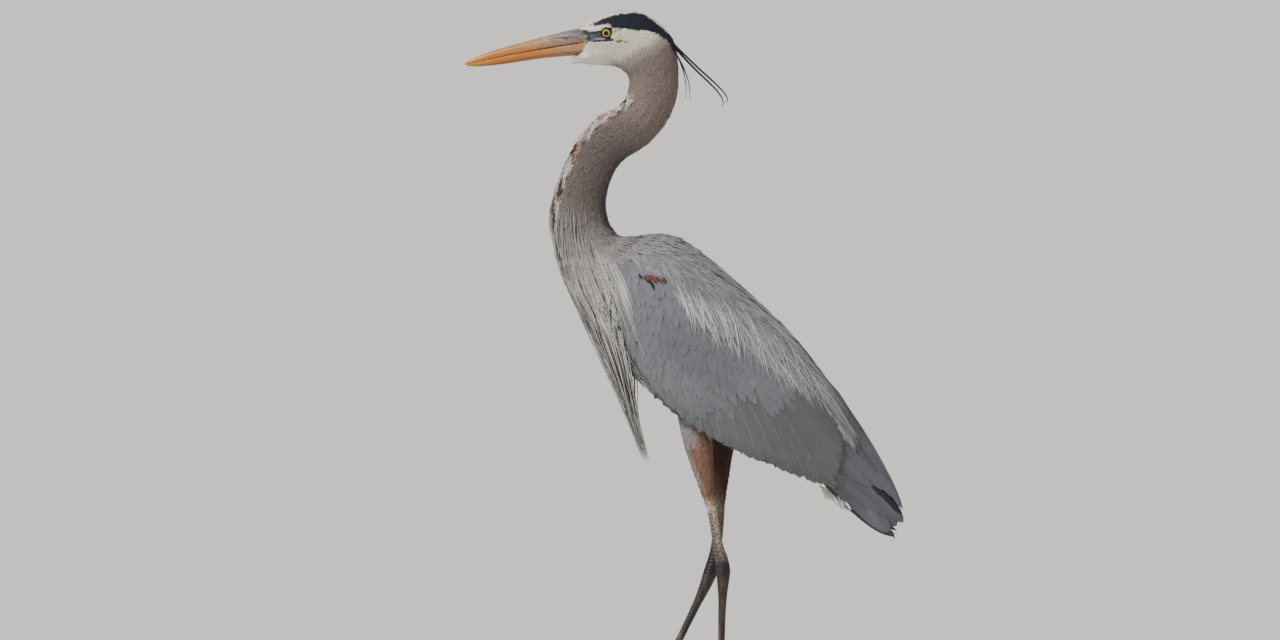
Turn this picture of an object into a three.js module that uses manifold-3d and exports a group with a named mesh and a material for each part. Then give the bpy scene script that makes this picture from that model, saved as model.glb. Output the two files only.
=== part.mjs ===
// A great blue heron at life size, standing in mid step with its neck in an S.
// It faces -X, its left side is at -Y, and Z is up from the floor. All sizes are in millimetres.
// Head, neck and trunk are one loft along the bird, parted by thin cuts. The folded wings are shells
// round the trunk, and each leg is one tube, parted where its feathers end and at the heel.
import * as THREE from "three";
import { mergeVertices } from "three/addons/utils/BufferGeometryUtils.js";
import Module from "manifold-3d";

const wasm = await Module();
wasm.setup();

// ---- Driving sizes ----

const gap = 0.35; // clearance between solids that meet
const shortestEdge = 0.06; // a cut's edges shorter than this are closed up

// Where the loft of head, neck and trunk is parted, in stations of the body table.
const bodyPieces = {
  head: { to: 5.4, steps: 13, around: 18 },
  neck_upper: { from: 5.4, to: 8.3, steps: 7, around: 16 },
  neck_middle: { from: 8.3, to: 11.4, steps: 7, around: 16 },
  neck_lower: { from: 11.4, to: 14.2, steps: 6, around: 18 },
  trunk: { from: 14.2, steps: 13, around: 20, boxy: 0.78 },
};
const eye = { x: -116, y: 12.4, z: 869, radius: 8, around: 12, rows: 8 };
const chin = { x: -147, z: 835, length: 18, width: 6, height: 4.5, tilt: -6, around: 10, rows: 6 };
const wingShell = { steps: 14, around: 8, drop: 0.4, edgeShare: 0.4 };
const beardFacets = { steps: 5, around: 12, lockSteps: 5, lockAround: 6 };
const legFacets = { thigh: 6, shank: 7, tarsus: 9, around: 10 };
const legCuts = { feathersEnd: 5, heel: 9 }; // stations of the leg tables
const footPad = { length: 15, width: 13, height: 8.5, sink: 1.1, around: 12, rows: 6 };
const toeShape = { sink: 0.4, taper: 0.42, knuckle: 0.12, landing: 52, around: 8 };
const clawShape = { steps: 4, around: 6, rootRadius: 2.25, tipRadius: 0.35, arch: 1, hook: 1.6, lowest: 0.1 };

// Heading in degrees from straight ahead, turning inwards, then length without the claw, joints,
// radius at the root, and the claw's length.
const toes = {
  middle: { heading: -2, length: 95, joints: 3, radius: 4.2, claw: 15 },
  inner: { heading: 35, length: 70, joints: 2, radius: 4, claw: 13 },
  outer: { heading: -38, length: 80, joints: 4, radius: 4, claw: 12 },
  hind: { heading: 168, length: 46, joints: 1, radius: 3.8, claw: 21 },
};

const feather = (color) => new THREE.MeshStandardMaterial({ color, roughness: 0.85, metalness: 0 });
const finishes = {
  headFeather: feather(0xe4e1d8),
  neckFeather: feather(0x8d8380),
  backFeather: feather(0x7c8088),
  tailFeather: feather(0x4d525b),
  breastPlume: feather(0xb9b6b0),
  crestPlume: feather(0x1d2029),
  thighFeather: feather(0xa0654b),
  upperBill: new THREE.MeshStandardMaterial({ color: 0xb39a7a, roughness: 0.35, metalness: 0 }),
  lowerBill: new THREE.MeshStandardMaterial({ color: 0xd99a35, roughness: 0.35, metalness: 0 }),
  eye: new THREE.MeshStandardMaterial({ color: 0xd8bf3c, roughness: 0.05, metalness: 0 }),
  legSkin: new THREE.MeshStandardMaterial({ color: 0x5b4c40, roughness: 0.6, metalness: 0 }),
  claw: new THREE.MeshStandardMaterial({ color: 0x2a2523, roughness: 0.4, metalness: 0 }),
};

const xAxis = new THREE.Vector3(1, 0, 0);
const yAxis = new THREE.Vector3(0, 1, 0);
const zAxis = new THREE.Vector3(0, 0, 1);
const radians = THREE.MathUtils.degToRad;

// ---- Solids from rows of numbers ----

// Rows at even steps become a smooth function of t, from 0 to the last row's number.
function along(rows) {
  const curve = new THREE.CubicInterpolant(rows.map((row, i) => i), rows.flat(), rows[0].length);
  return (t) => Array.from(curve.evaluate(t));
}

function middleOf(ring) {
  return ring.reduce((sum, point) => sum.addScaledVector(point, 1 / ring.length), new THREE.Vector3());
}

// A grown body grows past its ends too.
function growEnds(rings, grow) {
  for (const [end, next] of [[0, 1], [rings.length - 1, rings.length - 2]]) {
    const outward = middleOf(rings[end]).sub(middleOf(rings[next])).setLength(grow);
    rings[end].forEach((point) => point.add(outward));
  }
}

// Rings of points, all of one count, become one closed mesh. Its ends are fans round their middles.
// The ends of a thin shell, whose rings run out along one face and back along the other, are strips.
function closedMesh(rings, shell = false) {
  const count = rings[0].length;
  const points = rings.flat();
  const faces = [];
  for (let r = 0; r < rings.length - 1; r++) {
    for (let i = 0; i < count; i++) {
      const a = r * count + i;
      const b = r * count + ((i + 1) % count);
      faces.push(a, b, b + count, a, b + count, a + count);
    }
  }
  for (const [first, turned] of [[0, true], [(rings.length - 1) * count, false]]) {
    const add = (a, b, c) => (turned ? faces.push(a, c, b) : faces.push(a, b, c));
    if (shell) {
      for (let i = 0; i < count / 2 - 1; i++) {
        add(first + i, first + i + 1, first + count - 2 - i);
        add(first + i, first + count - 2 - i, first + count - 1 - i);
      }
    } else {
      points.push(middleOf(points.slice(first, first + count)));
      for (let i = 0; i < count; i++) add(first + i, first + ((i + 1) % count), points.length - 1);
    }
  }
  const mesh = new THREE.BufferGeometry().setFromPoints(points).setIndex(faces);
  return signedVolume(mesh) > 0 ? mesh : turnedInsideOut(mesh);
}

function signedVolume(mesh) {
  const place = mesh.getAttribute("position");
  const [a, b, c] = [0, 1, 2].map(() => new THREE.Vector3());
  let sum = 0;
  for (let i = 0; i < mesh.index.count; i += 3) {
    [a, b, c].forEach((corner, k) => corner.fromBufferAttribute(place, mesh.index.getX(i + k)));
    sum += a.dot(b.cross(c));
  }
  return sum / 6;
}

function turnedInsideOut(mesh) {
  const faces = Array.from(mesh.index.array);
  for (let i = 0; i < faces.length; i += 3) [faces[i + 1], faces[i + 2]] = [faces[i + 2], faces[i + 1]];
  return mesh.setIndex(faces);
}

// A closed mesh becomes a solid, for joining and cutting.
function solid(mesh) {
  const bare = mesh.clone();
  bare.deleteAttribute("normal");
  bare.deleteAttribute("uv");
  const merged = mergeVertices(bare, 1e-3);
  return new wasm.Manifold(new wasm.Mesh({
    numProp: 3,
    vertProperties: new Float32Array(merged.getAttribute("position").array),
    triVerts: new Uint32Array(merged.index.array),
  }));
}

// Cuts leave specks where two faceted surfaces graze, and edges too short to keep.
// The largest piece is the part, and both ends of a short edge become one point.
function meshOf(body) {
  const pieces = body.decompose().sort((a, b) => b.volume() - a.volume());
  const { vertProperties, triVerts } = pieces[0].getMesh();
  const points = [];
  for (let i = 0; i < vertProperties.length; i += 3) {
    points.push(new THREE.Vector3().fromArray(vertProperties, i));
  }
  const home = points.map((point, i) => i);
  const find = (i) => (home[i] === i ? i : find(home[i]));
  const triangles = [];
  for (let i = 0; i < triVerts.length; i += 3) triangles.push(Array.from(triVerts.slice(i, i + 3)));
  for (const corners of triangles) {
    for (let k = 0; k < 3; k++) {
      const [a, b] = [find(corners[k]), find(corners[(k + 1) % 3])];
      if (points[a].distanceTo(points[b]) < shortestEdge) home[a] = b;
    }
  }
  const kept = new Map();
  for (const corners of triangles.map((triangle) => triangle.map(find))) {
    if (new Set(corners).size < 3) continue;
    const key = [...corners].sort((a, b) => a - b).join();
    if (kept.has(key)) kept.delete(key); // two faces folded flat on each other
    else kept.set(key, corners);
  }
  return new THREE.BufferGeometry().setFromPoints(points).setIndex([...kept.values()].flat());
}

// One section across the bird: an under point and an over point in the XZ plane, and the half width.
// boxy below 1 fills out the under half, and ridge above 0 narrows the over half.
function section([underX, underZ, overX, overZ, halfWidth], { around, grow = 0, boxy = 1, ridge = 0 }) {
  const middle = new THREE.Vector3((underX + overX) / 2, 0, (underZ + overZ) / 2);
  const up = new THREE.Vector3(overX, 0, overZ).sub(middle);
  const scale = 1 + grow / up.length();
  return Array.from({ length: around }, (unused, i) => {
    const angle = (2 * Math.PI * i) / around;
    const [high, wide] = [Math.cos(angle), Math.sin(angle)];
    const full = high < 0 ? Math.sign(wide) * Math.abs(wide) ** boxy : wide;
    return middle.clone()
      .addScaledVector(up, high * scale)
      .setY((halfWidth + grow) * full * (1 - ridge * Math.max(0, high)));
  });
}

// A loft through rows of sections, from station t0 to station t1.
function loft(rows, shape) {
  const { steps, t0 = 0, t1 = rows.length - 1, grow = 0 } = shape;
  const at = along(rows);
  const rings = [];
  for (let i = 0; i <= steps; i++) rings.push(section(at(t0 + ((t1 - t0) * i) / steps), shape));
  growEnds(rings, grow);
  return solid(closedMesh(rings));
}

// A tube through rows of x, y, z, then the radius towards hint and the radius across it.
function tube(rows, hint, { steps, around, t0 = 0, t1 = rows.length - 1, grow = 0 }) {
  const at = along(rows);
  const place = (t) => new THREE.Vector3(...at(THREE.MathUtils.clamp(t, 0, rows.length - 1)));
  const rings = [];
  for (let i = 0; i <= steps; i++) {
    const t = t0 + ((t1 - t0) * i) / steps;
    const [, , , deep, wide] = at(t);
    const tangent = place(t + 0.05).sub(place(t - 0.05)).normalize();
    const first = hint.clone().addScaledVector(tangent, -hint.dot(tangent)).normalize();
    const second = new THREE.Vector3().crossVectors(tangent, first);
    rings.push(Array.from({ length: around }, (unused, k) => {
      const angle = (2 * Math.PI * (k + 0.5)) / around;
      return place(t)
        .addScaledVector(first, (deep + grow) * Math.cos(angle))
        .addScaledVector(second, (wide + grow) * Math.sin(angle));
    }));
  }
  growEnds(rings, grow);
  return solid(closedMesh(rings));
}

// The share of a station that is half the gap, along the middle line.
function halfGap(rows, t, middle) {
  const at = along(rows);
  return gap / 2 / (middle(at(t + 0.25)).distanceTo(middle(at(t - 0.25))) / 0.5);
}

// A length of a parted body, with half the gap left at each cut.
function partedEnds(rows, middle, { from, to }) {
  return {
    t0: from === undefined ? 0 : from + halfGap(rows, from, middle),
    t1: to === undefined ? rows.length - 1 : to - halfGap(rows, to, middle),
  };
}

// ---- Head, neck and trunk ----

// Under x and z, over x and z, then half width, from the bill's root to the rump.
const body = [
  [-152, 834, -152, 876, 12.5], // root of the bill
  [-138, 829, -139, 885, 16.5], // lores
  [-120, 828, -119, 893, 18.5], // eyes
  [-104, 826, -92, 898, 20.5], // crown
  [-92, 818, -62, 889, 22], // back of the head
  [-89, 809, -34, 862, 22], // nape
  [-90, 799, -27, 825, 21], // throat
  [-94, 787, -28, 791, 20],
  [-105, 776, -41, 758, 20], // kink of the neck
  [-121, 769, -65, 730, 20],
  [-141, 751, -91, 714, 20],
  [-162, 721, -107, 695, 20.5],
  [-180, 676, -117, 665, 22],
  [-188, 641, -116, 641, 26],
  [-183, 601, -105, 619, 33], // foot of the neck
  [-168, 556, -79, 615, 43],
  [-144, 512, -48, 619, 53], // shoulders
  [-112, 472, -10, 604, 61],
  [-69, 424, 35, 567, 66],
  [-8, 383, 84, 523, 66], // hips
  [53, 353, 129, 473, 58],
  [114, 329, 166, 416, 45],
  [160, 303, 196, 364, 29], // rump
  [182, 290, 208, 338, 18],
];
const sectionMiddle = ([ux, uz, ox, oz]) => new THREE.Vector3((ux + ox) / 2, 0, (uz + oz) / 2);

function bodyPiece(name, grow = 0) {
  const piece = bodyPieces[name];
  return loft(body, { ...piece, ...partedEnds(body, sectionMiddle, piece), grow });
}

// ---- Bill ----

// x, then the heights of the culmen, the mouth line and the lower edge, then half width.
const bill = [
  [-136, 876, 857.5, 842.5, 8.5],
  [-157, 873.5, 855.5, 840.5, 9.6],
  [-188, 866, 850.5, 838, 8.2],
  [-211, 860, 846.3, 835, 7],
  [-244, 851, 840.3, 830, 5.2],
  [-266, 843.8, 835, 827.6, 3.7],
  [-284, 836.5, 831.2, 826.9, 2],
  [-293, 831.9, 830.5, 828.6, 0.6],
];
const mandibles = {
  upper_bill: {
    rows: bill.map(([x, culmen, mouth, , halfWidth]) => [x, mouth + gap, x, culmen, halfWidth]),
    shape: { steps: 11, around: 12, ridge: 0.35, boxy: 0.5 },
  },
  lower_bill: {
    rows: bill.map(([x, , mouth, edge, halfWidth]) => [x, mouth - gap, x, edge, 0.94 * halfWidth]),
    shape: { steps: 11, around: 12, ridge: 0.3, boxy: 0.5 },
  },
};

// ---- Folded wings ----

// Under x and z, over x and z of the bird's whole side, half width, the wing's arc in degrees from
// the back, and thickness, from the bend of the wing to its tip.
const wing = [
  [-130, 508, -56, 612, 55, 76, 104, 4],
  [-112, 478, -35, 616, 64, 50, 130, 9],
  [-90, 447, -10, 604, 71, 34, 150, 11],
  [-56, 412, 28, 577, 76, 27, 160, 12],
  [-10, 375, 72, 540, 78, 21, 165, 12],
  [44, 346, 116, 496, 73, 16, 166, 11],
  [98, 325, 152, 447, 62, 11, 166, 10],
  [140, 309, 185, 391, 47, 7, 164, 9],
  [172, 295, 210, 348, 35, 4, 160, 7],
  [202, 272, 232, 323, 25, 4, 152, 5.5],
  [230, 251, 250, 294, 16, 5, 142, 4],
  [250, 244, 260, 269, 9, 12, 130, 2.6],
];

// One ring of a wing: its outer face from the back down to the lower edge, then its inner face back.
function wingRing([underX, underZ, overX, overZ, halfWidth, start, end, thick], side, grow) {
  const middle = new THREE.Vector3((underX + overX) / 2, 0, (underZ + overZ) / 2);
  const up = new THREE.Vector3(overX, 0, overZ).sub(middle);
  const height = up.length();
  const spread = THREE.MathUtils.radToDeg(grow / halfWidth);
  const pointAt = (share, inward) => {
    const angle = radians(start - spread + (end - start + 2 * spread) * share);
    const [high, wide] = [Math.cos(angle), Math.sin(angle)];
    const tuck = high < 0 ? 1 - wingShell.drop * (1 - wide) : wide;
    const depth = inward * (wingShell.edgeShare + (1 - wingShell.edgeShare) * Math.sin(Math.PI * share));
    return middle.clone()
      .addScaledVector(up, high * (1 - (depth * Math.max(0.1, high)) / height))
      .setY(side * Math.max(gap - grow, halfWidth * tuck - depth));
  };
  const shares = Array.from({ length: wingShell.around }, (unused, i) => i / (wingShell.around - 1));
  const outer = shares.map((share) => pointAt(share, -grow));
  const inner = shares.map((share) => pointAt(share, thick + grow));
  return [...outer, ...inner.reverse()];
}

function wingPiece(side, grow = 0) {
  const at = along(wing);
  const rings = [];
  for (let i = 0; i <= wingShell.steps; i++) {
    rings.push(wingRing(at(((wing.length - 1) * i) / wingShell.steps), side, grow));
  }
  return solid(closedMesh(rings, true));
}

// ---- Tail ----

// x and z of the lower face on the middle line, thickness and half width.
const tail = [
  [146, 319, 20, 15],
  [181, 291, 14, 19],
  [208, 267, 10, 23],
  [230, 250, 7, 25],
  [247, 237, 3.5, 21],
];
const tailFace = new THREE.Vector2(0.64, 0.77); // from its lower face to its upper, in XZ

function tailPiece() {
  const rows = tail.map(([x, z, thick, halfWidth]) =>
    [x, z, x + thick * tailFace.x, z + thick * tailFace.y, halfWidth]);
  return loft(rows, { steps: 6, around: 12 });
}

// ---- Legs ----

// x, y, z, the radius fore and aft and the radius across, from inside the flank down to the foot.
// The right foot is in mid step: its heel is low, its shin slants, and only its toes are down.
const legs = {
  left: {
    side: -1,
    foot: new THREE.Vector3(25, -34, footPad.height),
    rows: [
      [-9, -31, 402, 21, 15],
      [-4, -31, 374, 21, 15],
      [-1, -31, 350, 17.5, 13],
      [4, -31, 324, 13, 10.5],
      [9, -30, 300, 9, 8],
      [14, -30, 278, 6.4, 6.2], // feathers end
      [18, -30, 256, 6, 5.6],
      [22, -30, 231, 6.4, 5.8],
      [27, -30, 212, 8.3, 7],
      [29, -30, 197, 9.2, 7.8], // heel
      [28.5, -30.5, 181, 7.3, 6.4],
      [28, -31, 162, 5.4, 4.8],
      [27, -32, 130, 4.6, 4.2],
      [26, -33, 80, 4.6, 4.2],
      [25.5, -33.5, 40, 5, 4.6],
      [25, -34, 10, 7, 6.5],
    ],
  },
  right: {
    side: 1,
    foot: new THREE.Vector3(-66, 34, footPad.height + 14),
    rows: [
      [31, 32, 392, 18, 14],
      [29, 32, 366, 17.5, 13.5],
      [27, 32, 345, 15, 11.5],
      [25.6, 32, 320, 12.4, 9.8],
      [24.4, 31, 296, 9.6, 8],
      [24, 31, 276, 7.9, 7], // feathers end
      [23.6, 31, 254, 7, 6.3],
      [21.2, 31, 227, 6.8, 6.1],
      [18, 31, 207, 8.3, 7],
      [13, 31, 190, 9, 7.8], // heel
      [5, 31.5, 170, 6.9, 6.2],
      [-3, 31.5, 153, 5.3, 4.8],
      [-17, 32, 124, 4.6, 4.2],
      [-36, 33, 85, 4.6, 4.2],
      [-54, 33.5, 48, 5, 4.6],
      [-65.5, 34, 24, 6.6, 6.2],
    ],
  },
};
const tubeMiddle = ([x, y, z]) => new THREE.Vector3(x, y, z);

function legPiece(leg, ends, steps, grow = 0) {
  const parted = partedEnds(leg.rows, tubeMiddle, ends);
  return tube(leg.rows, xAxis, { steps, around: legFacets.around, ...parted, grow });
}
const thighPiece = (leg, grow) => legPiece(leg, { to: legCuts.feathersEnd }, legFacets.thigh, grow);
const shankPiece = (leg) => legPiece(leg, { from: legCuts.feathersEnd, to: legCuts.heel }, legFacets.shank);
const tarsusPiece = (leg) => legPiece(leg, { from: legCuts.heel }, legFacets.tarsus);

// ---- Feet ----

function footPiece(leg, grow = 0) {
  const pad = new THREE.SphereGeometry(1, footPad.around, footPad.rows);
  pad.rotateX(Math.PI / 2);
  pad.scale(footPad.length + grow, footPad.width + grow, footPad.height + footPad.sink + grow);
  pad.translate(leg.foot.x, leg.foot.y, leg.foot.z);
  return solid(pad);
}

// The place on a toe's line at a distance from the middle of the foot.
function toePoint(leg, toe, distance, height) {
  const heading = radians(toe.heading) * leg.side;
  const x = leg.foot.x - distance * Math.cos(heading);
  const y = leg.foot.y - distance * Math.sin(heading);
  return [x, y, height];
}

// A toe comes down to the floor where its foot is lifted, and its pads are cut flat there.
function toePiece(leg, toe) {
  const heading = radians(toe.heading);
  const start = gap + Math.hypot(footPad.length * Math.cos(heading), footPad.width * Math.sin(heading));
  const end = Math.min(toeShape.landing, toe.length - 8);
  const drop = leg.foot.z - footPad.height + 2;
  const steps = 2 * toe.joints + 3;
  const rows = [];
  for (let i = 0; i <= steps; i++) {
    const share = i / steps;
    const distance = start + (toe.length - start) * share;
    const radius = toe.radius * (1 - toeShape.taper * share);
    const swelling = 1 + toeShape.knuckle * Math.cos(2 * Math.PI * toe.joints * share);
    const raised = drop * (1 - THREE.MathUtils.smoothstep(distance, 10, end));
    const place = toePoint(leg, toe, distance, 1.06 * radius - toeShape.sink + raised);
    rows.push([...place, radius * swelling, 1.05 * radius * swelling]);
  }
  return tube(rows, zAxis, { steps, around: toeShape.around }).trimByPlane([0, 0, 1], 0);
}

function clawPiece(leg, toe) {
  const { steps, around, rootRadius, tipRadius, arch, hook, lowest } = clawShape;
  const rows = [];
  for (let i = 0; i <= steps; i++) {
    const share = i / steps;
    const height = 2.5 + arch * Math.sin(Math.PI * share) - hook * share ** 2;
    const place = toePoint(leg, toe, toe.length + 2.5 * gap + toe.claw * share, height);
    const radius = tipRadius + (rootRadius - tipRadius) * (1 - share) ** 0.8;
    rows.push([...place, radius, 0.8 * radius]);
  }
  return tube(rows, zAxis, { steps, around }).trimByPlane([0, 0, 1], lowest);
}

// ---- Plumes ----

// The long feathers of the back of the head: x, y and z along each, then root and tip radius.
const crest = {
  crest_plume_left: {
    path: [
      [-44, -5, 868],
      [-24, -6, 846],
      [0, -8, 823],
      [19, -9, 806],
      [31, -9.5, 793],
      [34.5, -9.5, 785],
      [30, -9.5, 783],
    ],
    radii: [2, 0.5],
    steps: 13,
  },
  crest_plume_right: {
    path: [
      [-44, 5, 867],
      [-25, 6, 843],
      [-2, 9, 819],
      [17, 12, 801],
      [27, 14, 788],
      [29, 14.5, 779],
      [25, 14.5, 777],
    ],
    radii: [2, 0.5],
    steps: 13,
  },
  crest_plume_short_left: {
    path: [
      [-37, -12, 855],
      [-25, -12.5, 833],
      [-18, -13, 808],
      [-18, -13, 784],
    ],
    radii: [1.7, 0.45],
    steps: 6,
  },
  crest_plume_short_right: {
    path: [
      [-37, 12, 854],
      [-23, 14, 830],
      [-14, 16.5, 806],
      [-12, 18.5, 780],
    ],
    radii: [1.7, 0.45],
    steps: 6,
  },
};

function crestPiece({ path, radii: [root, tip], steps }) {
  const rows = path.map((place, i) => {
    const radius = THREE.MathUtils.lerp(root, tip, i / (path.length - 1));
    return [...place, radius, radius];
  });
  return tube(rows, yAxis, { steps, around: 5 });
}

// The long feathers that hang from the foot of the neck: one mass, then locks of their own.
const beard = [
  [-140, 0, 535, 15, 28],
  [-120, 0, 493, 16, 28],
  [-103, 0, 455, 11.5, 23],
  [-90, 0, 417, 7, 15],
  [-79, 0, 382, 3.5, 8],
];
const beardLocks = [
  { y: -16, tipX: -88, tipZ: 372 },
  { y: -6, tipX: -63, tipZ: 330 },
  { y: 5, tipX: -76, tipZ: 346 },
  { y: 15, tipX: -94, tipZ: 386 },
];

function beardPiece() {
  const { steps, around, lockSteps, lockAround } = beardFacets;
  let mass = tube(beard, xAxis, { steps, around });
  for (const { y, tipX, tipZ } of beardLocks) {
    const lock = [
      [-106, 0.8 * y, 462, 7, 6],
      [-96, y, 428, 5, 4.5],
      [(tipX - 94) / 2, 0.9 * y, (tipZ + 428) / 2, 3, 2.8],
      [tipX, 0.7 * y, tipZ, 0.6, 0.6],
    ];
    mass = mass.add(tube(lock, xAxis, { steps: lockSteps, around: lockAround }));
  }
  return mass;
}

// ---- Assembly ----

const heron = new THREE.Group();
heron.name = "great_blue_heron";

function addNode(name, shape, finish) {
  const mesh = new THREE.Mesh(meshOf(shape), finish);
  mesh.name = name;
  heron.add(mesh);
}

function eyeball(side, grow = 0) {
  const ball = new THREE.SphereGeometry(eye.radius + grow, eye.around, eye.rows);
  ball.translate(eye.x, side * eye.y, eye.z);
  return solid(ball);
}

// The feathered wedge that runs forward under the bill.
function chinPiece() {
  const wedge = new THREE.SphereGeometry(1, chin.around, chin.rows);
  wedge.scale(chin.length, chin.width, chin.height);
  wedge.rotateY(radians(chin.tilt));
  wedge.translate(chin.x, 0, chin.z);
  return solid(wedge);
}

function addHead() {
  let head = bodyPiece("head").add(chinPiece());
  for (const { rows, shape } of Object.values(mandibles)) {
    head = head.subtract(loft(rows, { ...shape, grow: 1.5 * gap }));
  }
  for (const side of [-1, 1]) head = head.subtract(eyeball(side, gap));
  addNode("head", head, finishes.headFeather);
  addNode("upper_bill", loft(mandibles.upper_bill.rows, mandibles.upper_bill.shape), finishes.upperBill);
  addNode("lower_bill", loft(mandibles.lower_bill.rows, mandibles.lower_bill.shape), finishes.lowerBill);
  addNode("left_eye", eyeball(-1), finishes.eye);
  addNode("right_eye", eyeball(1), finishes.eye);
  const nape = bodyPiece("head", gap).add(bodyPiece("neck_upper", gap));
  for (const [name, plume] of Object.entries(crest)) {
    addNode(name, crestPiece(plume).subtract(nape), finishes.crestPlume);
  }
}

function addNeck() {
  for (const name of ["neck_upper", "neck_middle", "neck_lower"]) {
    addNode(name, bodyPiece(name), finishes.neckFeather);
  }
}

function addBody() {
  const wingRoom = wingPiece(-1, gap).add(wingPiece(1, gap));
  let trunk = bodyPiece("trunk").subtract(wingRoom);
  for (const leg of Object.values(legs)) trunk = trunk.subtract(thighPiece(leg, gap));
  addNode("trunk", trunk, finishes.backFeather);
  const bodyRoom = bodyPiece("trunk", gap).add(wingRoom);
  addNode("breast_plumes", beardPiece().subtract(bodyRoom), finishes.breastPlume);
  addNode("tail", tailPiece().subtract(bodyRoom), finishes.tailFeather);
}

function addWingAndLeg(name, leg) {
  const folded = wingPiece(leg.side).subtract(thighPiece(leg, gap));
  addNode(`${name}_wing`, folded, finishes.backFeather);
  addNode(`${name}_thigh`, thighPiece(leg), finishes.thighFeather);
  addNode(`${name}_shank`, shankPiece(leg), finishes.legSkin);
  addNode(`${name}_tarsus`, tarsusPiece(leg).subtract(footPiece(leg, gap)), finishes.legSkin);
  addNode(`${name}_foot`, footPiece(leg).trimByPlane([0, 0, 1], 0), finishes.legSkin);
  for (const [toeName, toe] of Object.entries(toes)) {
    addNode(`${name}_toe_${toeName}`, toePiece(leg, toe), finishes.legSkin);
    addNode(`${name}_claw_${toeName}`, clawPiece(leg, toe), finishes.claw);
  }
}

addHead();
addNeck();
addBody();
for (const [name, leg] of Object.entries(legs)) addWingAndLeg(name, leg);

// The origin is the middle of the bird's box, on the floor.
const middle = new THREE.Box3().setFromObject(heron, true).getCenter(new THREE.Vector3());
heron.position.set(-middle.x, -middle.y, 0);

export default heron;
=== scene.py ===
import math

import bmesh
import bpy
import numpy as np
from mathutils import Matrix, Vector
from mathutils.bvhtree import BVHTree


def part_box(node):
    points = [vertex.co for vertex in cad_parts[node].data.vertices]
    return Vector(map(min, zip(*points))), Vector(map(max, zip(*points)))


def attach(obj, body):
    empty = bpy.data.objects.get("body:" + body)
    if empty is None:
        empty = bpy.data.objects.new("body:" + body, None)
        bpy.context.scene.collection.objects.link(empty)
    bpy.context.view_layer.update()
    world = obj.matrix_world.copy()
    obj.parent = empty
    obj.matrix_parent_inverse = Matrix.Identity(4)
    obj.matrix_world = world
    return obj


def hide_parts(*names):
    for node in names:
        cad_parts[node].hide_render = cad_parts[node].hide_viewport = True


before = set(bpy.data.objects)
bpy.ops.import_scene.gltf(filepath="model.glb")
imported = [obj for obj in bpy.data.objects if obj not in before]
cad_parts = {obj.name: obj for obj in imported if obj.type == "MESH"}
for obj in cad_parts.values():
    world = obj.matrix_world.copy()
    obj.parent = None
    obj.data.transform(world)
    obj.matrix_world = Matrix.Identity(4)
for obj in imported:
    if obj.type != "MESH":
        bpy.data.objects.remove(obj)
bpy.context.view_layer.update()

# Places are worked out in millimetres on the bird's own axes: the bill points to -X, its left side
# is at -Y, and the floor is at 0. The eye's place in the frame tells how far those axes are shifted.
eye = {"x": -116, "y": 12.4, "z": 869, "radius": 8, "gaze": (-0.17, -0.03)}
shiftX = 1000 * (sum(corner.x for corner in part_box("left_eye")) / 2) - eye["x"]
sides = ((-1, "Left"), (1, "Right"))


def toFrame(points):
    return (np.asarray(points, dtype=float) + [shiftX, 0, 0]) / 1000


def fromFrame(points):
    return 1000 * np.asarray(points, dtype=float) - [shiftX, 0, 0]


def linear(hexColour):
    channels = np.array([int(hexColour[i:i + 2], 16) for i in (1, 3, 5)]) / 255
    return np.where(channels <= 0.04045, channels / 12.92, ((channels + 0.055) / 1.055) ** 2.4)


def fourOf(hexColour):
    return (*linear(hexColour), 1)


def smoothStep(low, high, value):
    # 0 where the value is at low, 1 where it is at high, which may also be the smaller of the two
    share = np.clip((value - low) / (high - low), 0, 1)
    return share * share * (3 - 2 * share)


def unit(vectors):
    return vectors / np.maximum(np.linalg.norm(vectors, axis=-1, keepdims=True), 1e-9)


def across(vectors, normals):
    # the part of each vector that lies in the surface
    return vectors - normals * np.sum(vectors * normals, axis=-1, keepdims=True)


def inMiddle(x, z):
    # places or directions in the bird's middle plane
    return np.stack([x, 0 * x, z], -1)


def curveAt(rows, place):
    # a smooth curve through evenly numbered rows, read at any place along it
    rows = np.asarray(rows, dtype=float)
    last = len(rows) - 1
    place = np.asarray(place, dtype=float)
    start = np.clip(np.floor(place), 0, last - 1).astype(int)
    t = (place - start)[..., None]
    before = rows[np.maximum(start - 1, 0)]
    a, b = rows[start], rows[start + 1]
    after = rows[np.minimum(start + 2, last)]
    before = np.where((start == 0)[..., None], 2 * a - b, before)
    after = np.where((start == last - 1)[..., None], 2 * b - a, after)
    inside = a + 0.5 * t * (b - before + t * (2 * before - 5 * a + 4 * b - after
                                              + t * (3 * (a - b) + after - before)))
    return np.where(t > 1, b + (t - 1) * 0.5 * (after - a), inside)


def addObject(name, data):
    made = bpy.data.objects.new(name, data)
    bpy.context.collection.objects.link(made)
    return made


def meshFrom(bm, name="part"):
    mesh = bpy.data.meshes.new(name)
    bm.to_mesh(mesh)
    bm.free()
    return mesh


def shadeSmooth(mesh):
    mesh.polygons.foreach_set("use_smooth", np.ones(len(mesh.polygons), dtype=bool))


def setInputs(tree, node, inputs):
    # an input takes a value, a socket, or another node, whose first output is linked to it
    for name, value in inputs.items():
        if isinstance(value, bpy.types.Node):
            value = value.outputs[0]
        if isinstance(value, bpy.types.NodeSocket):
            tree.links.new(value, node.inputs[name])
        else:
            node.inputs[name].default_value = value


def addNode(tree, kind, inputs, **settings):
    node = tree.nodes.new("ShaderNode" + kind)
    for name, value in settings.items():
        setattr(node, name, value)
    setInputs(tree, node, inputs)
    return node


def times(tree, first, second):
    return addNode(tree, "VectorMath", {0: first, 1: second}, operation="MULTIPLY")


def newMaterial(name):
    material = bpy.data.materials.new(name)
    material.use_nodes = True
    return material, material.node_tree, material.node_tree.nodes["Principled BSDF"]


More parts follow.
